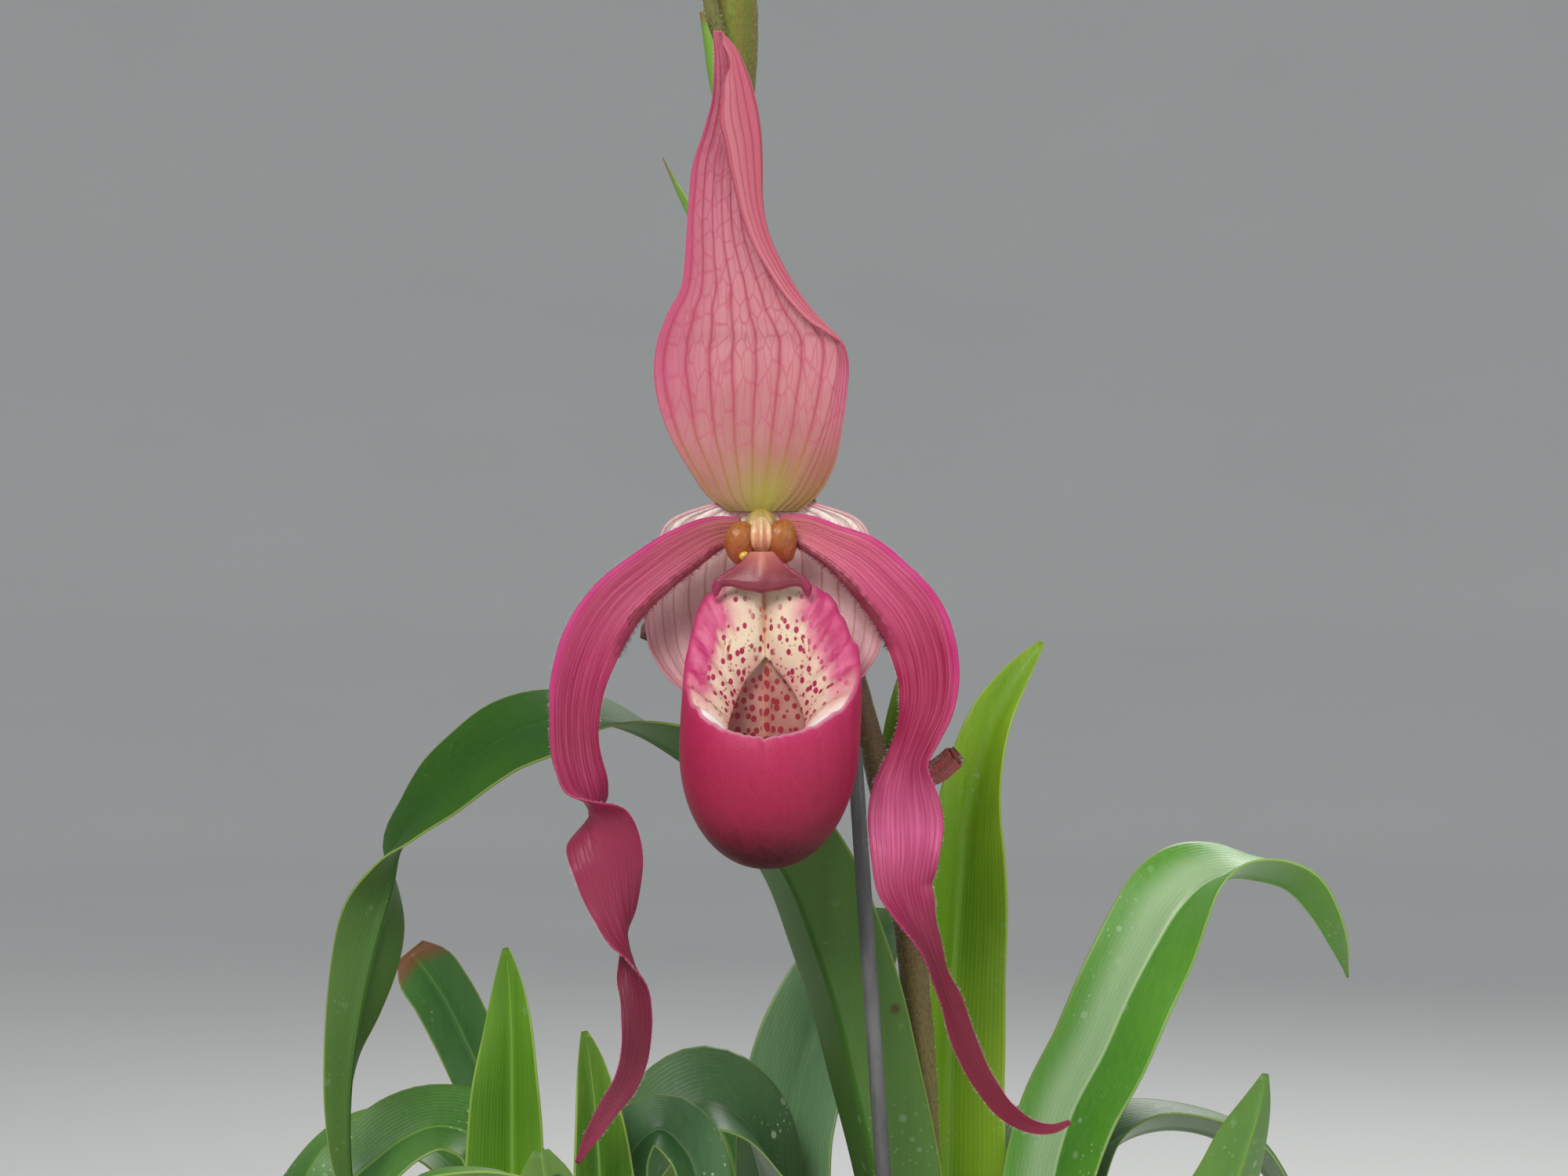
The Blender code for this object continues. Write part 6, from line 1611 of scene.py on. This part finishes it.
for index in range(DRAIN_COUNT):
    heading = math.tau * (index + 0.5) / DRAIN_COUNT
    mesh = bmesh.new()
    bmesh.ops.create_cone(
        mesh, cap_ends=True, segments=40, radius1=DRAIN_RADIUS * MM, radius2=DRAIN_RADIUS * MM, depth=0.03)
    bmesh.ops.translate(
        mesh, verts=mesh.verts[:], vec=(DRAIN_CIRCLE * MM * math.cos(heading),
        DRAIN_CIRCLE * MM * math.sin(heading), 0))
    drill_mesh = bpy.data.meshes.new("drain_drill")
    mesh.to_mesh(drill_mesh)
    mesh.free()
    drill = add_object("drain_drill", drill_mesh)
    cut = pot.modifiers.new("drain", "BOOLEAN")
    cut.operation = "DIFFERENCE"
    cut.solver = "EXACT"
    cut.object = drill
    whole = bpy.data.meshes.new_from_object(pot.evaluated_get(bpy.context.evaluated_depsgraph_get()))
    pot.modifiers.clear()
    pot.data = whole
    bpy.data.objects.remove(drill, do_unlink=True)
print("pot faces:", len(pot.data.polygons))

# %% [markdown]
# ## Bark mix
# Orchids are potted in bark. A lumpy bed fills the pot, and hundreds of flat chips lie on it,
# each a bent slab of 48 faces with its own size, turn and tilt. All the chips are one mesh,
# worked out together: one chip's points are multiplied by many turns at once.

# %% Bark bed and chips
rng = np.random.default_rng(1779)
BED_TOP = BARK_TOP - 1.5
bed_radius = inner_foot + slope * (BED_TOP - POT_FLOOR) - 2
rim = np.concatenate(
    ([(0, 9)], [(inner_foot - 2, 9)],
    np.stack((np.linspace(inner_foot - 2, bed_radius, 20)[1:], np.linspace(9, BED_TOP - 2, 20)[1:]),
    axis=1), np.stack((np.linspace(bed_radius, 0, 60)[1:], np.full(59, BED_TOP)), axis=1)))
bed = turned(rim, 120)
x, y = bed[..., 0], bed[..., 1]
lumps = np.sin(0.31 * x + 1.3) * np.sin(0.27 * y) + 0.7 * np.sin(0.55 * x - 0.4 * y)
bed[20:, :, 2] += (0.9 * lumps + 0.5 * np.sin(1.7 * x) * np.sin(1.9 * y))[20:] \
    * clamp((bed_radius - np.hypot(x, y)[20:]) / 6)

chip_side = np.linspace(-1, 1, 5)
a, b = np.meshgrid(chip_side, chip_side, indexing="ij")
CHIP_COUNT = 520
chip_shape = stacked(a, b).reshape(-1, 2)
round_off = 1 - 0.22 * (chip_shape[:, 0] * chip_shape[:, 1]) ** 2
half_size = stacked(rng.uniform(2.6, 6.4, CHIP_COUNT), rng.uniform(1.8, 4.2, CHIP_COUNT))
thick = rng.uniform(0.7, 1.7, CHIP_COUNT)
flat = chip_shape[None] * round_off[None, :, None] * half_size[:, None]
flat = flat + rng.normal(0, 0.28, flat.shape)
rough_top = rng.normal(0, 0.22, flat.shape[:2])
bow = 0.35 * (chip_shape[None, :, 0] ** 2) * half_size[:, None, 0] * rng.uniform(-0.4, 0.5, (CHIP_COUNT, 1))
edge_drop = 0.55 * np.maximum(abs(chip_shape[:, 0]), abs(chip_shape[:, 1]))[None] ** 6 * thick[:, None]
top = np.concatenate((flat, (bow + thick[:, None] / 2 + rough_top - edge_drop)[..., None]), axis=-1)
under = np.concatenate(
    (flat, (bow - thick[:, None] / 2 + rough_top * 0.4 + edge_drop * 0.5)[..., None]), axis=-1)
chips = np.concatenate((top, under), axis=1)
spin, tilt, roll = (
    rng.uniform(0, math.tau, CHIP_COUNT), rng.normal(0, 0.3, CHIP_COUNT), rng.normal(0, 0.3, CHIP_COUNT))


def turn_matrix(angle, first, second):
    """One turn matrix for each angle, in the plane of two axes."""
    matrix = np.tile(np.eye(3), (len(angle), 1, 1))
    matrix[:, first, first] = matrix[:, second, second] = np.cos(angle)
    matrix[:, first, second] = -np.sin(angle)
    matrix[:, second, first] = np.sin(angle)
    return matrix


turns = turn_matrix(spin, 0, 1) @ turn_matrix(tilt, 0, 2) @ turn_matrix(roll, 1, 2)
chips = np.einsum("nij,nkj->nki", turns, chips)
reach = np.sqrt(rng.uniform(0, 1, CHIP_COUNT)) * (bed_radius - 5.5)
heading = rng.uniform(0, math.tau, CHIP_COUNT)
spot = stacked(reach * np.cos(heading), reach * np.sin(heading))
spot_height = BED_TOP + 0.6 + rng.uniform(0, 2.2, CHIP_COUNT)
chips = chips + np.concatenate((spot, spot_height[:, None]), axis=-1)[:, None]
squares, places = grid_squares(5, 5)
loop = margin_loop(np.arange(25).reshape(5, 5))
u, v = np.meshgrid(np.linspace(0, 1, 5), np.linspace(0, 1, 5))
rim_faces, rim_places = rim_squares(loop, stacked(u, v).reshape(-1, 2)[loop], 25)
one = np.concatenate((squares[:, ::-1], squares + 25, rim_faces[:, ::-1]))
one_places = np.concatenate((places[:, ::-1], places, rim_places[:, ::-1]))
all_faces = (one[None] + (np.arange(CHIP_COUNT) * 50)[:, None, None]).reshape(-1, 4)
all_places = np.tile(one_places, (CHIP_COUNT, 1, 1))

finish, board = new_finish("bark")
place = board.place()
kind = board.add("TexVoronoi", {"Vector": place, "Scale": 120}).outputs["Color"]
kind = board.add("SeparateColor", {"Color": kind}).outputs["Red"]
fibre = board.streaks(place, (260, 900, 900), 5)
grain = board.noise(place, 1500, 4)
skin = board.ramp(
    kind, ((0, (52, 36, 28)), (0.35, (86, 58, 42)), (0.7, (118, 84, 60)), (1, (146, 112, 84))))
skin = board.layers(
    skin, (board.step(fibre, 0.4, 0.65), 0.55, (44, 30, 24)),
    (board.step(grain, 0.6, 0.74), 0.35, (170, 146, 118)))
moss = board.step(board.noise(place, 34, 4), 0.6, 0.72)
skin = board.tint(skin, moss, 0.45, (92, 104, 48))
board.paint(skin, board.line(grain, 0.2, 0.7))
board.relief(board.plus(fibre, grain), 0.5, 0.8)
bed_squares, bed_places = grid_squares(len(rim), 120, wrap=True)
add_piece("bark_bed", bed.reshape(-1, 3), bed_squares, bed_places, finish, "potting_bark", welded=True)
add_piece("bark_chips", chips.reshape(-1, 3), all_faces, all_places, finish)
print("bark chips:", CHIP_COUNT, "highest point, mm:", round(float(chips[..., 2].max()), 1))

# %% [markdown]
# ## Hairs
# The scape, the ovaries, the buds and the petal margins are downy. A hair is a three-sided
# spike, and one call makes thousands at once from roots, directions and lengths. The hair
# system could comb them better, but it isn't plain mesh and wouldn't be exported.

# %% Spikes for hairs
def add_hairs(name, roots, directions, lengths, radius, finish):
    """One mesh of bent three-sided spikes: three base points, three halfway and one tip each."""
    count = len(roots)
    directions = unit(directions)
    side = unit(np.cross(directions, (0.31, 0.52, 0.79)))
    other = np.cross(directions, side)
    turns = np.arange(3) * math.tau / 3
    ring = (np.cos(turns)[:, None] * side[:, None] + np.sin(turns)[:, None] * other[:, None]) * radius
    lengths = np.asarray(lengths)[:, None]
    halfway = roots + directions * lengths * 0.55
    droop = side * lengths * rng.normal(0, 0.1, (count, 1)) - np.array((0, 0, 0.06)) * lengths
    tips = roots + directions * lengths + droop
    points = np.concatenate((roots[:, None] + ring, halfway[:, None] + ring * 0.7, tips[:, None]), axis=1)
    first = (np.arange(count) * 7)[:, None]
    sides = ((0, 1), (1, 2), (2, 0))
    faces = [np.concatenate((first + a, first + b, first + b + 3, first + a + 3), axis=1) for a, b in sides]
    caps = [np.concatenate((first + a + 3, first + b + 3, first + 6), axis=1) for a, b in sides]
    feet = np.concatenate((first + 2, first + 1, first), axis=1)
    every = np.concatenate(faces).tolist() + np.concatenate(caps).tolist() + feet.tolist()
    return add_piece(name, points.reshape(-1, 3), every, None, finish)


def hair_finish(name, root_tone, tip_tone):
    """Fine hair: two tones mixed by a slow noise, with a soft gloss."""
    finish, board = new_finish(name, Subsurface_Weight=0, Sheen_Weight=0.2)
    place = board.place()
    skin = board.mix(board.step(board.noise(place, 500, 2), 0.4, 0.6), root_tone, tip_tone)
    board.paint(skin, board.line(board.noise(place, 900, 2), 0.2, 0.4))
    return finish


def stem_roots(points, count, low, high):
    """Random places on a tube between two shares of its length, and the way out from its middle."""
    rows, around = points.shape[:2]
    i = rng.integers(int(rows * low), int(rows * high), count)
    j = rng.integers(0, around, count)
    slide = rng.uniform(0, 1, (count, 1))
    roots = points[i, j] * (1 - slide) + points[i, (j + 1) % around] * slide
    return roots, unit(roots - points[i].mean(axis=1))


pale_hair = hair_finish("hair_pale", (206, 200, 180), (232, 228, 214))
dark_hair = hair_finish("hair_crimson", (112, 10, 36), (150, 40, 66))
rose_hair = hair_finish("hair_rose", (210, 140, 170), (232, 190, 206))
for node, count, low, high, length in (
        ("scape", 5000, 0.03, 0.995, 0.62), ("ovary", 900, 0.03, 0.97, 0.5),
        ("spent_ovary_right", 500, 0.03, 0.9, 0.45), ("spent_ovary_left", 900, 0.03, 0.97, 0.45),
        ("next_bud", 1500, 0.03, 0.98, 0.42), ("last_bud", 400, 0.05, 0.95, 0.4)):
    roots, outward = stem_roots(stem_points[node], count, low, high)
    lean = unit(outward + rng.normal(0, 0.28, roots.shape) + np.array((0, 0, 0.25)))
    add_hairs(node + "_hairs", roots, lean, length * rng.uniform(0.6, 1.25, count), 0.035, pale_hair)
print("stem hairs made")

# %% Hairs of the petals, the sepal and the shield
def margin_roots(grid, column, low, high, count, inset=0):
    """Random places on a margin, the way out of the blade there, and the blade's normal."""
    rows = len(grid)
    i = rng.integers(int(rows * low), int((rows - 1) * high), count)
    slide = rng.uniform(0, 1, (count, 1))
    step = 1 if column == 0 else -1
    near = column + step * inset
    roots = grid[i, near] * (1 - slide) + grid[i + 1, near] * slide
    outward = unit(grid[i, near] - grid[i, near + step * 3])
    return roots, outward, surface_normals(grid)[i, near]


def fringe(name, bundles, out, up, spread, shortest, longest, radius, finish):
    """Hairs from bundles of roots on a margin, which lean out of the blade and up from it."""
    roots, outward, normals = (np.concatenate(part) for part in zip(*bundles))
    lean = unit(out * outward + up * normals + rng.normal(0, spread, roots.shape))
    add_hairs(name, roots, lean, rng.uniform(shortest, longest, len(roots)), radius, finish)


for petal, low in (("petal_left", 0), ("petal_right", PETAL_COLUMNS - 1)):
    grid = petals[petal][0]
    edges = [margin_roots(grid, column, 0.05, 0.97, 620) for column in (0, PETAL_COLUMNS - 1)]
    fringe(petal + "_hairs", edges, 1, 0.35, 0.35, 0.35, 0.85, 0.03, rose_hair)
    edges = [margin_roots(grid, low, 0.03, 0.24, 150, inset) for inset in (0, 0, 1, 1, 2, 3, 4, 6)]
    fringe(petal + "_dark_hairs", edges, 0.8, 0.7, 0.4, 0.5, 1.35, 0.035, dark_hair)
edges = [margin_roots(shield_tips, column, 0.2, 0.9, 60) for column in (0, shield_tips.shape[1] - 1)]
fringe("shield_hairs", edges, 1, 0, 0.5, 0.3, 0.8, 0.03, dark_hair)
edges = [margin_roots(dorsal_points, column, 0.1, 0.97, 260) for column in (0, dorsal_points.shape[1] - 1)]
fringe("dorsal_hairs", edges, 1, 0, 0.4, 0.25, 0.5, 0.028, rose_hair)
print("bloom hairs made")

# %% [markdown]
# ## Floor and light
# The photograph was lit softly from above. A wide bowl of pale paper stands for the floor and
# the backdrop at once, so that every view sees one plain ground. One broad lamp stands above
# on the left, a weaker one on the right, and a third behind draws the leaves' edges.

# %% Floor bowl and lamps
bowl = np.array([(7.5, 6), (7.2, 3.6), (6.6, 2), (5.6, 0.9), (4.6, 0.3), (3.6, 0.04), (3, 0), (0, 0)])
shares = np.linspace(0, 1, 90)
spread = np.linspace(0, 1, len(bowl))
bowl = np.stack((np.interp(shares, spread, bowl[:, 0]), np.interp(shares, spread, bowl[:, 1])), axis=1)
grid = turned(bowl, 96)
data = bpy.data.meshes.new("floor_bowl")
data.from_pydata(grid.reshape(-1, 3).tolist(), [], grid_squares(len(bowl), 96, wrap=True)[0].tolist())
weld(data, 1e-5)
data.shade_smooth()
finish, board = new_finish("pale_paper", Roughness=0.9)
place = board.place()
paper = board.mix(board.noise(place, 3, 2), (224, 224, 222), (230, 230, 228))
board.join(paper, board.shader.inputs["Base Color"])
data.materials.append(finish)
floor = add_object("floor_bowl", data)

sky = bpy.data.worlds.new("soft_studio")
sky.use_nodes = True
sky.node_tree.nodes["Background"].inputs["Color"].default_value = (0.92, 0.96, 1, 1)
sky.node_tree.nodes["Background"].inputs["Strength"].default_value = 0.42
bpy.context.scene.world = sky


def add_lamp(name, place, size, power, colour, aim=(0, 0, 0.32)):
    """Square area lamp that faces the aim."""
    lamp = bpy.data.lights.new(name, "AREA")
    lamp.size = size
    lamp.energy = power
    lamp.color = colour
    holder = bpy.data.objects.new(name, lamp)
    holder.location = place
    away = np.array(place) - np.array(aim)
    flat = math.hypot(away[0], away[1])
    holder.rotation_euler = (math.atan2(flat, away[2]), 0, math.atan2(away[0], -away[1]))
    bpy.context.scene.collection.objects.link(holder)


add_lamp("key_lamp", (-0.45, -1.25, 1.25), 0.6, 18.5, (1, 0.98, 0.95))
add_lamp("fill_lamp", (1.3, -1.2, 0.8), 1, 8, (0.95, 0.98, 1))
add_lamp("edge_lamp", (0.5, 1.4, 1.5), 1, 14, (1, 1, 0.98))
print("lamps lit")
